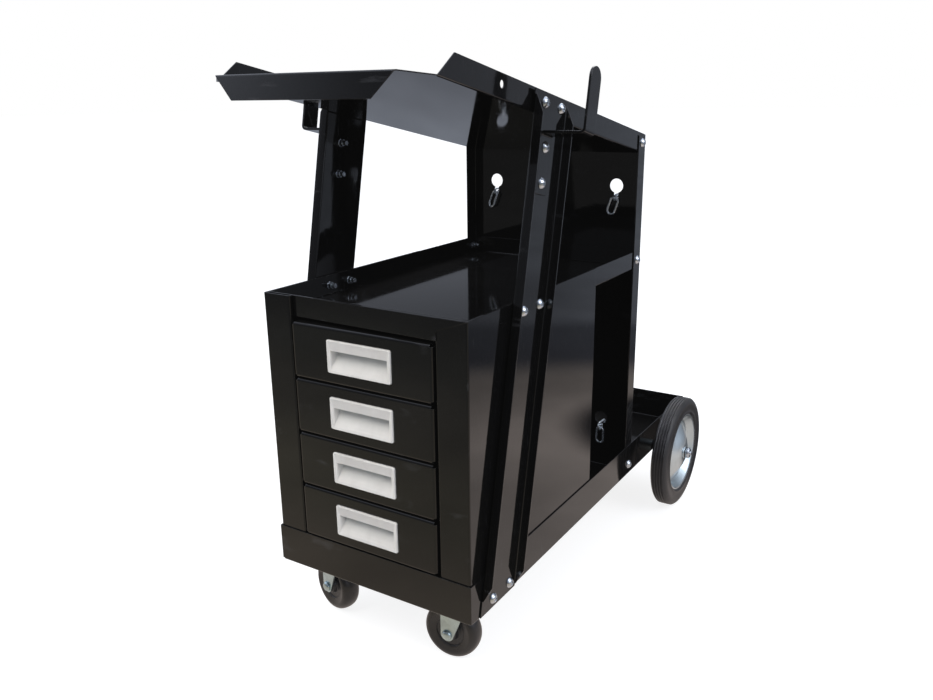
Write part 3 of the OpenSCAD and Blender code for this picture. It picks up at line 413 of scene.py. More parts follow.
def linkBump(tree, skin, height, distance, normal=None):
    # height times distance raises the surface; normal is what the bump starts from
    b = node(tree, "ShaderNodeBump", Strength=1.0, Distance=distance)
    tree.links.new(height, b.inputs["Height"])
    if normal is not None:
        tree.links.new(normal, b.inputs["Normal"])
    tree.links.new(b.outputs[0], skin.inputs["Normal"])


def glossPaint(name, p):
    # black sprayed gloss: peel in the skin, a weak wide haze over the mirror, hairline scratches, a little dust on
    # top, bare steel at worn edges
    mat, t, skin = newMaterial(name, Specular_IOR_Level=p["sheen"], Coat_Weight=p["haze"], Coat_Roughness=0.55)
    wear = use(t, "wear", Radius=p["edge"], Amount=p["wear"], Scale=130.0)
    dust = use(t, "dust", Scale=11.0, Amount=p["dust"])
    marks = use(t, "scratches", Scale=9.0, Amount=p["marks"])
    tone = use(t, "mottle", Scale=5.0, Spread=0.35)
    base = blendColour(t, sums(t, "ADD", tone.outputs[0], 0.5, clamp=True), p["deep"], p["light"])
    scuffed = blendColour(t, sums(t, "MULTIPLY", marks.outputs[0], 0.25), base, (0.10, 0.10, 0.105))
    worn = blendColour(t, wear.outputs["Mask"], scuffed, (0.17, 0.165, 0.16))
    t.links.new(blendColour(t, dust.outputs[0], worn, (0.30, 0.28, 0.25)), skin.inputs["Base Color"])
    rough = sums(t, "ADD", sums(t, "MULTIPLY", marks.outputs[0], 0.22), p["rough"])
    rough = sums(t, "ADD", rough, sums(t, "MULTIPLY", tone.outputs[0], 0.05))
    rough = sums(t, "ADD", rough, sums(t, "MULTIPLY", dust.outputs[0], 1.6), clamp=True)
    t.links.new(rough, skin.inputs["Roughness"])
    t.links.new(sums(t, "MULTIPLY", wear.outputs["Mask"], 0.6), skin.inputs["Metallic"])
    peel = use(t, "peel", Scale=p["peel"], Depth=1.0)
    linkBump(t, skin, peel.outputs[0], p["peelDepth"], normal=wear.outputs["Normal"])
    return mat


def platedSteel(name, p):
    # bright zinc: cloudy tone with a faint yellow-blue drift, fine pits, dark in the scratches
    mat, t, skin = newMaterial(name, Metallic=p.get("metal", 1.0))
    tone = use(t, "mottle", Scale=p["cloud"], Spread=0.5)
    drift = use(t, "mottle", Scale=p["cloud"] * 0.4, Spread=0.5)
    marks = use(t, "scratches", Scale=24.0, Amount=p["marks"])
    wear = use(t, "wear", Radius=p["edge"], Amount=0.6, Scale=300.0)
    tint = blendColour(t, sums(t, "ADD", drift.outputs[0], 0.5, clamp=True), p["warm"], p["cool"])
    base = blendColour(t, sums(t, "ADD", tone.outputs[0], 0.35, clamp=True), tint, p["dull"])
    bright = blendColour(t, wear.outputs["Mask"], base, (0.86, 0.87, 0.88))
    t.links.new(blendColour(t, marks.outputs[0], bright, (0.42, 0.42, 0.43)), skin.inputs["Base Color"])
    rough = sums(t, "ADD", sums(t, "MULTIPLY", tone.outputs[0], 0.14), p["rough"])
    t.links.new(sums(t, "ADD", rough, sums(t, "MULTIPLY", marks.outputs[0], 0.2), clamp=True), skin.inputs["Roughness"])
    peel = use(t, "peel", Scale=p["grain"], Depth=1.0)
    linkBump(t, skin, peel.outputs[0], p["depth"], normal=wear.outputs["Normal"])
    return mat


def spunSteel(name, p, centre):
    # bright rim: ring-shaped brush lines about the axle, so the height depends on the distance from it
    mat, t, skin = newMaterial(name, Metallic=1.0, Coat_Weight=1.0, Coat_Roughness=0.08)
    at = node(t, "ShaderNodeTexCoord")
    shift = node(t, "ShaderNodeMapping", Location=(0, -centre[1], -centre[2]), Scale=(0, 1, 1))
    t.links.new(at.outputs["Object"], shift.inputs["Vector"])
    away = node(t, "ShaderNodeVectorMath", operation="LENGTH")
    t.links.new(shift.outputs[0], away.inputs[0])
    rings = node(t, "ShaderNodeTexNoise", noise_dimensions="1D", Scale=p["rings"], Detail=5.0, Roughness=0.7)
    t.links.new(away.outputs["Value"], rings.inputs["W"])
    tone = use(t, "mottle", Scale=26.0, Spread=0.5)
    dust = use(t, "dust", Scale=40.0, Amount=0.18)
    marks = use(t, "scratches", Scale=20.0, Amount=0.5)
    mixed = sums(t, "ADD", sums(t, "MULTIPLY", rings.outputs["Fac"], 0.5), sums(t, "MULTIPLY", tone.outputs[0], 0.5))
    base = blendColour(t, sums(t, "ADD", mixed, 0.15, clamp=True), p["dull"], p["bright"])
    scuffed = blendColour(t, sums(t, "MULTIPLY", marks.outputs[0], 0.6), base, (0.36, 0.36, 0.37))
    t.links.new(blendColour(t, dust.outputs[0], scuffed, (0.33, 0.30, 0.26)), skin.inputs["Base Color"])
    rough = sums(t, "ADD", sums(t, "MULTIPLY", rings.outputs["Fac"], 0.10), p["rough"])
    rough = sums(t, "ADD", rough, sums(t, "MULTIPLY", tone.outputs[0], 0.06))
    t.links.new(sums(t, "ADD", rough, sums(t, "MULTIPLY", dust.outputs[0], 0.8), clamp=True), skin.inputs["Roughness"])
    linkBump(t, skin, rings.outputs["Fac"], p["depth"])
    return mat


def darkRubber(name, p):
    # moulded rubber: matt, browned by dust in patches, lighter at the edges of the ribs and beads: rubbed wear, and on
    # the tyre also a painted highlight where the groove edges catch the light
    mat, t, skin = newMaterial(name, Specular_IOR_Level=p["sheen"])
    wear = use(t, "wear", Radius=p["edge"], Amount=p["wear"], Scale=p["worn"])
    tone = use(t, "mottle", Scale=p["patch"], Spread=0.5)
    dust = use(t, "dust", Scale=35.0, Amount=p["dust"])
    base = blendColour(t, sums(t, "ADD", tone.outputs[0], 0.5, clamp=True), p["deep"], p["brown"])
    rubbedAndHighlight = blendColour(t, wear.outputs["Mask"], base, p["rubbedAndHighlight"])
    t.links.new(blendColour(t, dust.outputs[0], rubbedAndHighlight, (0.26, 0.23, 0.19)), skin.inputs["Base Color"])
    rough = sums(t, "ADD", sums(t, "MULTIPLY", tone.outputs[0], 0.12), p["rough"])
    t.links.new(sums(t, "ADD", rough, sums(t, "MULTIPLY", dust.outputs[0], 0.6), clamp=True), skin.inputs["Roughness"])
    peel = use(t, "peel", Scale=p["grain"], Depth=1.0)
    linkBump(t, skin, peel.outputs[0], p["depth"], normal=wear.outputs["Normal"])
    return mat


def mouldedPlastic(name, p):
    # moulded plastic: faint flow clouds, fine grain, handling dirt in scratches, dust on upward faces, and, where
    # given, painted shade deepening into the pocket
    mat, t, skin = newMaterial(name, Subsurface_Weight=p["through"], Subsurface_Scale=0.004)
    skin.inputs["Subsurface Radius"].default_value = (1.0, 0.8, 0.6)
    tone = use(t, "mottle", Scale=40.0, Spread=0.5)
    marks = use(t, "scratches", Scale=30.0, Amount=p["marks"])
    wear = use(t, "wear", Radius=0.0009, Amount=0.35, Scale=200.0)
    dust = use(t, "dust", Scale=60.0, Amount=p["dust"])
    base = blendColour(t, sums(t, "ADD", tone.outputs[0], 0.5, clamp=True), p["deep"], p["light"])
    handled = blendColour(t, sums(t, "MULTIPLY", marks.outputs[0], 0.35), base, p["dirtAndShade"])
    edged = blendColour(t, wear.outputs["Mask"], handled, p["edge"])
    if "hollow" in p:
        # painted shade: the colour darkens with the depth of the pocket, between two distances back from its face
        axes = node(t, "ShaderNodeSeparateXYZ")
        t.links.new(node(t, "ShaderNodeTexCoord").outputs["Object"], axes.inputs[0])
        edged = blendColour(t, spread(t, axes.outputs["Y"], *p["hollow"]), edged, p["pocketShade"])
    # dust settles on upward faces; on the pull, whose dust is set high, it also stands for painted shade on the
    # pocket's floor
    t.links.new(blendColour(t, dust.outputs[0], edged, p["dirtAndShade"]), skin.inputs["Base Color"])
    rough = sums(t, "ADD", sums(t, "MULTIPLY", tone.outputs[0], 0.08), p["rough"])
    rough = sums(t, "ADD", rough, sums(t, "MULTIPLY", marks.outputs[0], 0.15), clamp=True)
    t.links.new(rough, skin.inputs["Roughness"])
    peel = use(t, "peel", Scale=p["grain"], Depth=1.0)
    linkBump(t, skin, peel.outputs[0], p["depth"], normal=wear.outputs["Normal"])
    return mat


# lengths are in metres: "edge" how far wear reaches in from an edge, "depth" of the grain
paint = {"deep": (0.0007, 0.0007, 0.0009), "light": (0.0018, 0.0017, 0.0018), "sheen": 0.5, "rough": 0.055,
         "haze": 0.06, "edge": 0.0007, "wear": 0.35, "dust": 0.012, "marks": 0.5, "peel": 210.0, "peelDepth": 0.000014}
innerPaint = dict(paint, rough=0.30, wear=0.6, dust=0.03, peelDepth=0.00005)
zinc = {"warm": (0.66, 0.69, 0.70), "cool": (0.64, 0.71, 0.80), "dull": (0.48, 0.51, 0.55), "rough": 0.24,
        "cloud": 90.0, "marks": 0.45, "edge": 0.0006, "grain": 900.0, "depth": 0.00003}
chainZinc = dict(zinc, metal=0.75, rough=0.18, cloud=140.0, dull=(0.66, 0.69, 0.73))
oiledZinc = dict(zinc, warm=(0.10, 0.10, 0.11), cool=(0.08, 0.09, 0.11), dull=(0.05, 0.05, 0.055), rough=0.38)
forkZinc = dict(zinc, warm=(0.54, 0.66, 0.66), cool=(0.54, 0.67, 0.74), dull=(0.38, 0.45, 0.47), rough=0.30,
                cloud=70.0, depth=0.00006)
rimSteel = {"bright": (0.80, 0.90, 0.95), "dull": (0.50, 0.58, 0.60), "rough": 0.36, "rings": 900.0,
            "depth": 0.00002}
# the tyre's strong, pale bluish edge colour is partly rubbed wear and partly a painted highlight along the tread's
# edges
tyreRubber = {"deep": (0.013, 0.013, 0.015), "brown": (0.024, 0.023, 0.023), "sheen": 0.42, "rough": 0.42,
              "edge": 0.0008, "wear": 2.4, "worn": 11.0, "rubbedAndHighlight": (0.55, 0.55, 0.59), "dust": 0.25,
              "patch": 18.0, "grain": 1100.0, "depth": 0.00008}
wheelRubber = {"deep": (0.012, 0.011, 0.011), "brown": (0.022, 0.020, 0.019), "sheen": 0.5, "rough": 0.30,
               "edge": 0.0012, "wear": 0.5, "worn": 220.0, "rubbedAndHighlight": (0.30, 0.30, 0.32), "dust": 0.12,
               "patch": 25.0, "grain": 700.0, "depth": 0.00004}
pullPlastic = {"deep": (0.63, 0.60, 0.55), "light": (0.72, 0.69, 0.635), "edge": (0.88, 0.86, 0.83),
               # dust at 0.5 darkens the pocket's upward-facing floor: partly settled dust, partly painted shade against
               # the light from above
               "dirtAndShade": (0.42, 0.40, 0.35), "through": 0.05, "rough": 0.36, "marks": 0.35, "dust": 0.5,
               # the pocket's depths and the colour it darkens to there: painted shade
               "hollow": (-midY - 0.0030, -midY + 0.0085, 0.0, 0.85), "pocketShade": (0.40, 0.41, 0.385),
               "grain": 1500.0, "depth": 0.00002}
hubPlastic = dict(pullPlastic, deep=(0.014, 0.014, 0.015), light=(0.024, 0.024, 0.025), edge=(0.07, 0.07, 0.07),
                  dirtAndShade=(0.12, 0.11, 0.09), through=0.0, rough=0.33, dust=0.1)
del hubPlastic["hollow"]

axle = np.array([0.0, 0.595 - midY, 0.089])   # middle of the rear axle
finishes = {
    "black_paint": glossPaint("blackGloss", paint),
    "inside": glossPaint("blackInside", innerPaint),
    "zinc_plate": platedSteel("zincPlate", zinc),
    "chain": platedSteel("chainZinc", chainZinc),
    "fork": platedSteel("forkZinc", forkZinc),
    "oiled": platedSteel("oiledZinc", oiledZinc),
    "bright_rim": spunSteel("spunRim", rimSteel, axle),
    "tyre_rubber": darkRubber("tyreRubber", tyreRubber),
    "caster_rubber": darkRubber("casterRubber", wheelRubber),
    "ivory_plastic": mouldedPlastic("ivoryPlastic", pullPlastic),
    "caster_plastic": mouldedPlastic("hubPlastic", hubPlastic),
    "black_plastic": mouldedPlastic("bushPlastic", hubPlastic),
}
print("materials ready:", len(finishes))

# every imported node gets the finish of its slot, apart from these
ownFinish = {"upper_chain": "chain", "lower_chain": "chain", "drawer_guide_left": "inside",
             "drawer_guide_right": "inside", "caster_fork_left": "fork", "caster_fork_right": "fork",
             "axle_collars": "oiled", "rear_axle": "oiled"}
for part in frame["record"]["subparts"]:
    name = part["node"]
    own = "inside" if name.startswith("drawer_box") else part["material_slot"]
    mat = finishes[ownFinish.get(name, own)]
    shape = cadNodes[name]
    if not shape.material_slots:
        shape.data.materials.append(mat)
    for s in shape.material_slots:
        s.material = mat


def ringFaces(rows, columns, closed):
    # quads between neighbouring rows of a grid whose columns join up; closed joins the last row to the first
    r = np.arange(rows if closed else rows - 1)[:, None]
    c = np.arange(columns)[None, :]
    r2, c2 = (r + 1) % rows, (c + 1) % columns
    return np.stack([r * columns + c, r * columns + c2, r2 * columns + c2, r2 * columns + c], -1).reshape(-1, 4)


def buildPiece(name, points, closed, caps, finish, body, stands=(), sharp=38):
    # points: rows x columns x 3 in metres; caps says whether the first and last row are filled in
    rows, columns = points.shape[:2]
    quads = ringFaces(rows, columns, closed)
    faces = [quads.ravel()]
    sizes = [np.full(len(quads), 4)]
    for wanted, row in zip(caps, (0, rows - 1)):
        if wanted:
            faces.append(row * columns + np.arange(columns))
            sizes.append(np.array([columns]))
    loops, sizes = np.concatenate(faces).astype(np.int32), np.concatenate(sizes).astype(np.int32)
    mesh = bpy.data.meshes.new(name)
    mesh.vertices.add(rows * columns)
    mesh.vertices.foreach_set("co", points.astype(np.float32).ravel())
    mesh.loops.add(len(loops))
    mesh.loops.foreach_set("vertex_index", loops)
    mesh.polygons.add(len(sizes))
    mesh.polygons.foreach_set("loop_start", np.concatenate([[0], np.cumsum(sizes)[:-1]]).astype(np.int32))
    mesh.update(calc_edges=True)
    mesh.validate()
    return finishPiece(name, mesh, finish, body, stands, sharp)


def finishPiece(name, mesh, finish, body, stands, sharp):
    # doubles merged, faces turned outwards, smooth but for edges sharper than the given angle
    b = bmesh.new()
    b.from_mesh(mesh)
    bmesh.ops.remove_doubles(b, verts=b.verts, dist=1e-6)
    bmesh.ops.dissolve_degenerate(b, edges=b.edges, dist=1e-7)
    bmesh.ops.recalc_face_normals(b, faces=b.faces)
    b.to_mesh(mesh)
    b.free()
    mesh.shade_smooth()
    mesh.set_sharp_from_angle(angle=math.radians(sharp))
    mesh.materials.clear()
    mesh.materials.append(finishes[finish])
    piece = bpy.data.objects.new(name, mesh)
    scene.collection.objects.link(piece)
    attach(piece, body)
    if stands:
        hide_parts(*stands)
    return piece


def softCorners(points, radius, steps=5):
    # every corner of a closed outline becomes a parabola that leaves its sides radius before it
    p = np.asarray(points, float)
    r = np.broadcast_to(np.asarray(radius, float), len(p))[:, None]
    back, ahead = np.roll(p, 1, 0) - p, np.roll(p, -1, 0) - p
    lb, la = (np.maximum(np.linalg.norm(v, axis=1, keepdims=True), 1e-9) for v in (back, ahead))
    start, end = p + back / lb * np.minimum(r, 0.45 * lb), p + ahead / la * np.minimum(r, 0.45 * la)
    t = np.linspace(0, 1, steps)[None, :, None]
    curve = (1 - t) ** 2 * start[:, None] + 2 * t * (1 - t) * p[:, None] + t ** 2 * end[:, None]
    return curve.reshape(-1, p.shape[1])


def turned(outline, centre, axis, count):
    # an outline of (radius, along) carried round the axis: centre + along*axis + radius*(cos*side + sin*other)
    axis = np.asarray(axis, float) / np.linalg.norm(axis)
    side = np.cross(axis, (0, 0, 1) if abs(axis[2]) < 0.9 else (1, 0, 0))
    side /= np.linalg.norm(side)
    other = np.cross(axis, side)
    t = np.linspace(0, 2 * np.pi, count, endpoint=False)[None, :, None]
    radius, along = outline[:, 0, None, None] * mm, outline[:, 1, None, None] * mm
    return np.asarray(centre) + along * axis + radius * (np.cos(t) * side + np.sin(t) * other)


def bevelPiece(piece, width, steps=2, angle=32):
    # edges sharper than the angle are broken by the width in metres
    m = piece.modifiers.new("edges", "BEVEL")
    m.width, m.segments, m.limit_method, m.angle_limit = width, steps, "ANGLE", math.radians(angle)
    return piece


def looseParts(mesh):
    # the lowest vertex number spreads along the edges until each loose part has one number, then counted from 0
    ends = np.empty(len(mesh.edges) * 2, np.int32)
    mesh.edges.foreach_get("vertices", ends)
    a, b = ends.reshape(-1, 2).T
    label = np.arange(len(mesh.vertices))
    while True:
        low = np.minimum(label[a], label[b])
        new = label.copy()
        np.minimum.at(new, a, low)
        np.minimum.at(new, b, low)
        new = new[new]
        if (new == label).all():
            return np.unique(label, return_inverse=True)[1]
        label = new


def softCopy(node, width, finish, steps=2, reshape=None):
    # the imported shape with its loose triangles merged, flat areas made one face and its edges broken
    mesh = cadNodes[node].data.copy()
    b = bmesh.new()
    b.from_mesh(mesh)
    bmesh.ops.remove_doubles(b, verts=b.verts, dist=2e-6)
    bmesh.ops.dissolve_limit(b, angle_limit=math.radians(0.6), verts=b.verts, edges=b.edges)
    b.to_mesh(mesh)
    b.free()
    if reshape:
        at = np.empty(len(mesh.vertices) * 3)
        mesh.vertices.foreach_get("co", at)
        mesh.vertices.foreach_set("co", reshape(at.reshape(-1, 3), mesh).ravel())
        mesh.update()
    mesh.shade_smooth()
    mesh.set_sharp_from_angle(angle=math.radians(30))
    mesh.materials.clear()
    mesh.materials.append(finishes[finish])
    piece = bpy.data.objects.new(node + "_dressed", mesh)
    scene.collection.objects.link(piece)
    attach(piece, cadNodes[node]["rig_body"])
    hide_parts(node)
    return bevelPiece(piece, width, steps) if width else piece


pull = {
    "width": 87.4, "height": 38.2, "corner": 2.2,
    "nose": -4.5,          # front of the raised rim, from the cabinet's front
    "face": -2.02,         # where the rim lies on the drawer
    "tail": 8.9,           # back of the pocket
    "rim": 2.3, "step": 0.7,    # width of the rim and how far the band lies behind it
    "body": (40.25, 15.25),     # half width and half height of the part inside the drawer
    "mouthHalf": 38.9, "mouthLow": -15.2, "lip": 6.8,     # opening: half width, lower and upper edge
    "roof": 13.5, "deep": 7.4, "floorTop": 3.6,           # pocket: its height, its depth, top of the sloping floor
}


def loopAt(halfWidth, low, high, corner, y, steps=7):
    # rounded rectangle in the drawer's plane: four quarter circles about the corner centres
    c = min(corner, (high - low) / 2 - 0.01)
    t = np.linspace(0, np.pi / 2, steps)
    turn = np.concatenate([t + k * np.pi / 2 for k in range(4)])
    cx = np.repeat([1, -1, -1, 1], steps) * (halfWidth - c)
    cz = np.repeat([high - c, high - c, low + c, low + c], steps)
    x, z = cx + c * np.cos(turn), cz + c * np.sin(turn)
    return np.stack([x, np.full_like(x, y), z], -1)


def drawerPull(number, s):
    # loops carried from the back of the body over the raised rim, down to the band and into the pocket
    w, h, r = s["width"] / 2, s["height"] / 2, s["corner"]
    bw, bh = s["body"]
    band = s["nose"] + s["step"]
    slope = (s["floorTop"] - s["mouthLow"]) / (s["deep"] - band)
    floorAt = lambda y: s["mouthLow"] + slope * (y - band)   # height of the sloping floor at depth y
    inner = s["rim"]
    loops = [
        loopAt(bw, -bh, bh, 1.6, s["tail"]), loopAt(bw, -bh, bh, 1.6, s["face"]),
        loopAt(w, -h, h, r, s["face"]), loopAt(w, -h, h, r, s["nose"] + 1.0),
        loopAt(w - 0.3, -h + 0.3, h - 0.3, r, s["nose"] + 0.35), loopAt(w - 0.95, -h + 0.95, h - 0.95, r, s["nose"]),
        loopAt(w - inner + 0.6, -h + inner - 0.6, h - inner + 0.6, r - 0.8, s["nose"] + 0.05),
        loopAt(w - inner, -h + inner, h - inner, r - 1.1, band),
        loopAt(s["mouthHalf"] + 0.5, s["mouthLow"] - 0.5, s["lip"] + 0.5, 1.4, band),
        loopAt(s["mouthHalf"], s["mouthLow"], s["lip"], 1.2, band + 0.45),
        loopAt(s["mouthHalf"] - 0.35, floorAt(band + 1.8), s["lip"], 1.1, band + 1.8),
        loopAt(s["mouthHalf"] - 0.4, floorAt(band + 2.1), s["roof"], 1.1, band + 2.1),
        loopAt(s["mouthHalf"] - 2.4, s["floorTop"] - 0.6, s["roof"], 1.1, s["deep"] - 0.3),
        loopAt(s["mouthHalf"] - 3.4, s["floorTop"] + 0.9, s["roof"] - 1.0, 0.9, s["deep"]),
    ]
    centre = np.array([0, -midY, 0])
    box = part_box(f"drawer_handle_{number}")
    centre[2] = (box[0].z + box[1].z) / 2
    points = np.stack(loops) * mm + centre
    return buildPiece(f"drawerPull{number}", points, False, (True, True), "ivory_plastic", f"drawer_{number}",
                      [f"drawer_handle_{number}"], sharp=50)


for number in range(1, 5):
    drawerPull(number, pull)
print("drawer pulls made")

wheel = {
    "radius": 89.0, "width": 27.0, "rim": 63.5, "hub": 16.5, "tube": 9.6, "bore": 8.08,
    "grooves": (-6.6, -2.2, 2.2, 6.6), "grooveWide": 2.5, "grooveDeep": 1.7,
    "gap": 14.5, "pan": 139.4,     # from the pan's side to the tyre, and half the pan's width
    "turnedAway": 0.05, "seatDepth": 5,    # inner face darkened as painted shade: least inward slope, and its distance from the rim
    # the axle's cap: radius and distance from the wheel's middle, and how much each corner is rounded
    "cap": [(0, 26.4), (2.6, 26.3), (3.3, 25.8), (3.4, 24.4), (6.6, 24.1), (8.7, 22.7), (9.0, 19.4), (8.2, 18.7),
            (6.8, 18.5), (6.7, 16.9), (6.04, 16.9), (6.04, 23.0), (0, 23.0)],
    "capRound": [0, 0.4, 0.4, 0.5, 1, 1, 0.5, 0.5, 0.5, 0.2, 0.1, 0.1, 0],
}


def tyreOutline(s):
    # half a tread with its grooves, a round shoulder, a slightly hollow side and a bead, then mirrored
    half, tread, rim = s["width"] / 2, s["radius"], s["rim"]
    g, d = s["grooveWide"] / 2, s["grooveDeep"]
    side = [(tread - 0.9, 9.3), (tread - 3.2, 11.6), (tread - 7.0, half - 0.35), (tread - 10.0, half),
            (tread - 13.5, half - 0.35), (tread - 18.0, half - 0.9), (tread - 20.5, half - 0.75),
            (tread - 22.0, half - 0.05), (tread - 23.6, half - 0.1), (tread - 25.2, half - 1.6), (rim - 0.95, 11.05),
            (rim + 0.04, 10.0), (rim - 2.96, 7.96), (rim - 4.96, 6.96), (rim - 8.96, 2.96)]
    ribs = [(tread - k, middle + out) for middle in s["grooves"]
            for k, out in ((0, -g), (d, -g * 0.62), (d, g * 0.62), (0, g))]
    left = [(r, -z) for r, z in reversed(side)]
    radii = [2.0, 2.5, 2.5, 2, 2, 1.5, 0.8, 0.8, 0.8, 0.8, 0.1, 0.1, 0.1, 0.1, 0.1]
    return softCorners(left + ribs + side, radii[::-1] + [0.45] * len(ribs) + radii, steps=4)


def rimOutline(s):
    # from the hub out: domed disc, wall of the dish, rolled lip and tyre seat; then back along the inside
    rim, hub, h = s["rim"], s["hub"], s["width"] / 2 + 3
    outer = [(s["bore"], h), (s["tube"] - 0.4, h), (s["tube"], h - 0.5), (s["tube"], 15.4), (hub - 3.2, 15.2),
             (hub, 14.6), (hub + 8, 12.0), (rim - 27, 5.6), (rim - 14.5, -0.2), (rim - 11.5, -0.2), (rim - 5.6, 7.6),
             (rim - 3.6, 10.4), (rim - 1.2, 10.95), (rim, 10.0), (rim - 3, 8.0), (rim - 5, 7.0), (rim - 9, 3.0)]
    inner = [(rim - 9, -3.0), (rim - 5, -7.0), (rim - 3, -8.0), (rim, -10.0), (rim - 1.2, -10.95), (rim - 3.6, -10.4),
             (rim - 7, -7.4), (rim - 12.5, -3.0), (rim - 22, -0.8), (rim - 36, 3.0), (hub, 6.5), (s["tube"], 5.0),
             (s["tube"], -h), (s["bore"], -h)]
    radii = [0.2, 0.4, 0.4, 0.4, 1.5, 3, 6, 9, 2.2, 2.2, 2.0, 1.8, 0.9, 0.5, 0.1, 0.1, 0.1,
             0.1, 0.1, 0.1, 0.5, 0.9, 1.8, 2.0, 3.0, 6.0, 8.0, 1.0, 0.5, 0.3, 0.3]
    return softCorners(outer + inner, radii, steps=7)


def wheelMiddle(sign):
    # the axle's middle moved sideways by half the pan, the gap and half the tyre
    return axle + np.array([sign * (wheel["pan"] + wheel["gap"] + wheel["width"] / 2) * mm, 0, 0])


def shadeRimBack(rim, centre, sign, s):
    # painted shade: the plate's inner face, the faces that look inwards between the tube and the seat, takes the dark
    # inner paint so that it stays dark as in shade
    rim.data.materials.append(finishes["inside"])
    count = len(rim.data.polygons)
    facing, middle = np.empty(count * 3), np.empty(count * 3)
    rim.data.polygons.foreach_get("normal", facing)
    rim.data.polygons.foreach_get("center", middle)
    out = np.linalg.norm((middle.reshape(-1, 3) - centre)[:, 1:], axis=1) / mm
    inward = facing.reshape(-1, 3)[:, 0] * sign < -s["turnedAway"]
    back = inward & (out > s["tube"]) & (out < s["rim"] - s["seatDepth"])
    rim.data.polygons.foreach_set("material_index", back.astype(np.int32))
    rim.data.update()


for side, sign in sides:
    centre = wheelMiddle(sign)
    body = f"rear_wheel_{side}"
    buildPiece(f"rearTyre_{side}", turned(tyreOutline(wheel), centre, (1, 0, 0), 144), True, (False, False),
               "tyre_rubber", body, [f"wheel_tyre_{side}"], sharp=42)
    rim = buildPiece(f"rearRim_{side}", turned(rimOutline(wheel), centre, (sign, 0, 0), 144), True, (False, False),
                     "bright_rim", body, [f"wheel_rim_{side}"], sharp=40)
    shadeRimBack(rim, centre, sign, wheel)

for side, sign in sides:
    outline = softCorners(wheel["cap"], wheel["capRound"], steps=4)
    buildPiece(f"axleCap_{side}", turned(outline, wheelMiddle(sign), (sign, 0, 0), 64), True, (False, False),
               "zinc_plate", cadNodes["axle_caps"]["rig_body"], ["axle_caps"], sharp=40)
print("rear wheels made")

caster = {
    "radius": 36.0, "width": 26.0, "seat": 26.0, "bore": 4.08, "hub": 10.0, "hubHalf": 14.6,
    "kingpin": (94.0, 62.0), "trail": 18.7,
    "turns": {"left": 164.0, "right": 184.0},     # degrees in which each wheel trails, from the cart's right
    "legFace": 17.5,       # outside of the fork's legs, from the wheel's middle
    "forkEdge": 0.0007,
}


def casterTyreOutline(s):
    # full round tread with a small ring beside the hub
    tread, face, seat = s["radius"], s["width"] / 2, s["seat"]
    half = [(tread, 2.5), (tread - 1.2, 7.8), (tread - 4.4, 11.6), (tread - 8.2, face - 0.2), (seat - 1.5, face - 1.2),
            (seat - 6.5, 10.4), (seat - 8.0, 9.15), (seat + 0.02, 9.02)]
    radii = [2.5, 3, 3, 1.5, 1.6, 1.0, 0.4, 0.1]
    return softCorners(half + [(r, -z) for r, z in reversed(half)], radii + radii[::-1], steps=5)


def casterHubOutline(s):
    # boss at the axle, a hollow web and the flange that holds the tyre
    half = [(s["bore"], s["hubHalf"]), (s["hub"] - 1, s["hubHalf"]), (s["hub"], s["hubHalf"] - 0.8),
            (s["hub"] + 1.5, 8.4), (s["hub"] + 4.5, 8.6), (s["seat"] - 6.5, 9.0), (s["seat"] - 3.0, 9.0),
            (s["seat"], 9.0)]
    radii = [0.2, 0.5, 0.5, 1.2, 2.0, 2.0, 0.6, 0.1]
    return softCorners(half + [(r, -z) for r, z in reversed(half)], radii + radii[::-1], steps=4)


for side, sign in sides:
    turn = math.radians(caster["turns"][side])
    kx, ky = sign * caster["kingpin"][0] * mm, caster["kingpin"][1] * mm - midY
    centre = np.array([kx + caster["trail"] * mm * math.cos(turn), ky + caster["trail"] * mm * math.sin(turn),
                       caster["radius"] * mm])
    along = (-math.sin(turn), math.cos(turn), 0)
    body = f"caster_wheel_{side}"
    buildPiece(f"casterTyre_{side}", turned(casterTyreOutline(caster), centre, along, 112), True, (False, False),
               "caster_rubber", body, [f"caster_tyre_{side}"], sharp=42)
    buildPiece(f"casterHub_{side}", turned(casterHubOutline(caster), centre, along, 72), True, (False, False),
               "caster_plastic", body, [f"caster_hub_{side}"], sharp=40)
    softCopy(f"caster_fork_{side}", caster["forkEdge"], "fork", 3)
    # axle riveted at both ends: shank, and a flat-topped dome outside each leg
    leg = caster["legFace"]
    half = [(4.0, leg), (6.4, leg + 0.04), (6.4, leg + 1.4), (4.9, leg + 3.4), (2.2, leg + 4.3), (0.0, leg + 4.3)]
    outline = softCorners(half[::-1] + [(r, -z) for r, z in half], 0.5, steps=4)
    outline[:, 0] = np.maximum(outline[:, 0], 0)
    buildPiece(f"casterAxle_{side}", turned(outline, centre, along, 48), True, (False, False), "fork",
               cadNodes[f"caster_axle_{side}"]["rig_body"], [f"caster_axle_{side}"], sharp=40)
print("casters made")

frameSheet = {
    "flangeCut": 3.3,      # how much narrower the uprights' flanges are than packed
    "edge": 0.0006, "hookEdge": 0.0005,
    "nut": 0.78,           # size of the nuts across their flats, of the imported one
}


def cutFlange(at, mesh):
    # what lies further out than the wanted flange is drawn in to it
    limit = np.abs(at[:, 0]).max() - frameSheet["flangeCut"] * mm
    at[:, 0] = np.clip(at[:, 0], -limit, limit)
    return at


def smallNuts(at, mesh):
    # each loose part shrinks towards its own middle across the bolt, not along it
    part = looseParts(mesh)
    count = np.bincount(part)[:, None]
    middle = np.stack([np.bincount(part, at[:, k]) for k in range(3)], -1) / count
    middle = middle[part]
    at[:, 1:] = middle[:, 1:] + (at[:, 1:] - middle[:, 1:]) * frameSheet["nut"]
    return at


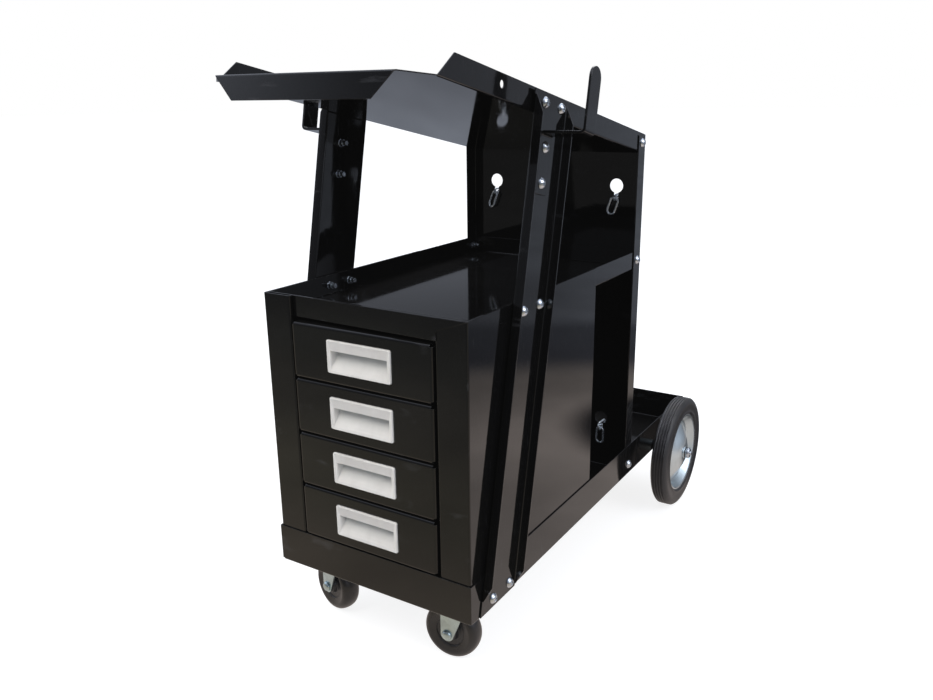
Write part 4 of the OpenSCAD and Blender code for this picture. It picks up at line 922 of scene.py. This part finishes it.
for side, sign in sides:
    softCopy(f"upright_{side}", frameSheet["edge"], "black_paint", 2, cutFlange)
    softCopy(f"cable_hook_{side}", frameSheet["hookEdge"], "black_paint", 2)
softCopy("frame_nuts", frameSheet["hookEdge"], "zinc_plate", 3, smallNuts)
print("uprights, hooks and nuts dressed")

chain = {
    "wire": 3.2,
    "front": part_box("rear_panel")[1].y - 0.002,   # links whose middle lies before this hang in front of the panel
    "tilt": {-1: (21.0, -22.0, 2.6), 1: (19.0, 8.0, 1.0)},   # end links: degrees of lean and turn, step forward
    "reach": 5.0,   # the link through each slot comes at least this far out of it
    "sink": 4.4,    # and lies this much flatter than the others
}


def turnEnds(at, mesh):
    # an end link turns about the inside of its top bend: first about the vertical, then in the panel's plane;
    # the link through the slot keeps its lower wire, and its upper wire comes down by the sink
    part = looseParts(mesh)
    for k in np.unique(part):
        mine = part == k
        link = at[mine]
        middle = (link.min(0) + link.max(0)) / 2
        if middle[1] > chain["front"]:
            if link[:, 1].min() < chain["front"] - chain["reach"] * mm:
                low, high = link[:, 2].min() + chain["wire"] * mm, link[:, 2].max() - chain["wire"] * mm
                at[mine, 2] -= chain["sink"] * mm * np.clip((link[:, 2] - low) / (high - low), 0, 1)
            continue
        lean, turn, ahead = chain["tilt"][1 if middle[0] > 0 else -1]
        lean, turn = math.radians(lean), math.radians(turn)
        pivot = np.array([middle[0], middle[1], link[:, 2].max() - chain["wire"] * mm])
        x, y, z = (link - pivot).T
        x, y = x * np.cos(turn) - y * np.sin(turn), x * np.sin(turn) + y * np.cos(turn)
        x, z = x * np.cos(lean) + z * np.sin(lean), -x * np.sin(lean) + z * np.cos(lean)
        at[mine] = np.stack([x, y - ahead * mm, z], -1) + pivot
    return at


softCopy("upper_chain", 0, "chain", 2, turnEnds)
print("chain ends turned")

rimSkin = {
    "from": -99.6, "step": 100.4, "to": 137.0,   # left end, right post's inner edge, corner
    "set": -311.3, "flush": -318.2,    # face of the rim at its left end and where it lies over the post
    "top": 439.9, "low": 415.8, "thick": 0.7,
    "tab": 14.0,           # the tab over the post narrows from this height to nothing
    "edge": 0.0007,
}


def trayRim(s):
    # rings of four points along the rim: its face moves forward evenly to the post, then its lower edge climbs
    x = np.concatenate([np.linspace(s["from"], s["step"], 20), np.linspace(s["step"] + 0.05, s["to"], 12)])
    share = np.clip((x - s["from"]) / (s["step"] - s["from"]), 0, 1)
    over = x > s["step"]
    face = s["set"] + (s["flush"] - s["set"]) * share
    thick, top = s["thick"], np.full_like(x, s["top"])
    rear = np.full_like(x, s["set"] + thick)
    low = np.where(over, top - thick - (s["tab"] - thick) * (s["to"] - x) / (s["to"] - s["step"]), s["low"])
    ring = [np.stack([x, y, z], -1) for y, z in ((face, top), (face, low), (rear, low), (rear, top))]
    points = np.stack(ring, 1) * mm
    piece = buildPiece("trayRimSkin", points, False, (True, True), "black_paint", cadNodes["middle_tray"]["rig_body"],
                       sharp=30)
    return bevelPiece(piece, s["edge"], 3)


trayRim(rimSkin)
print("tray rim laid over the post")
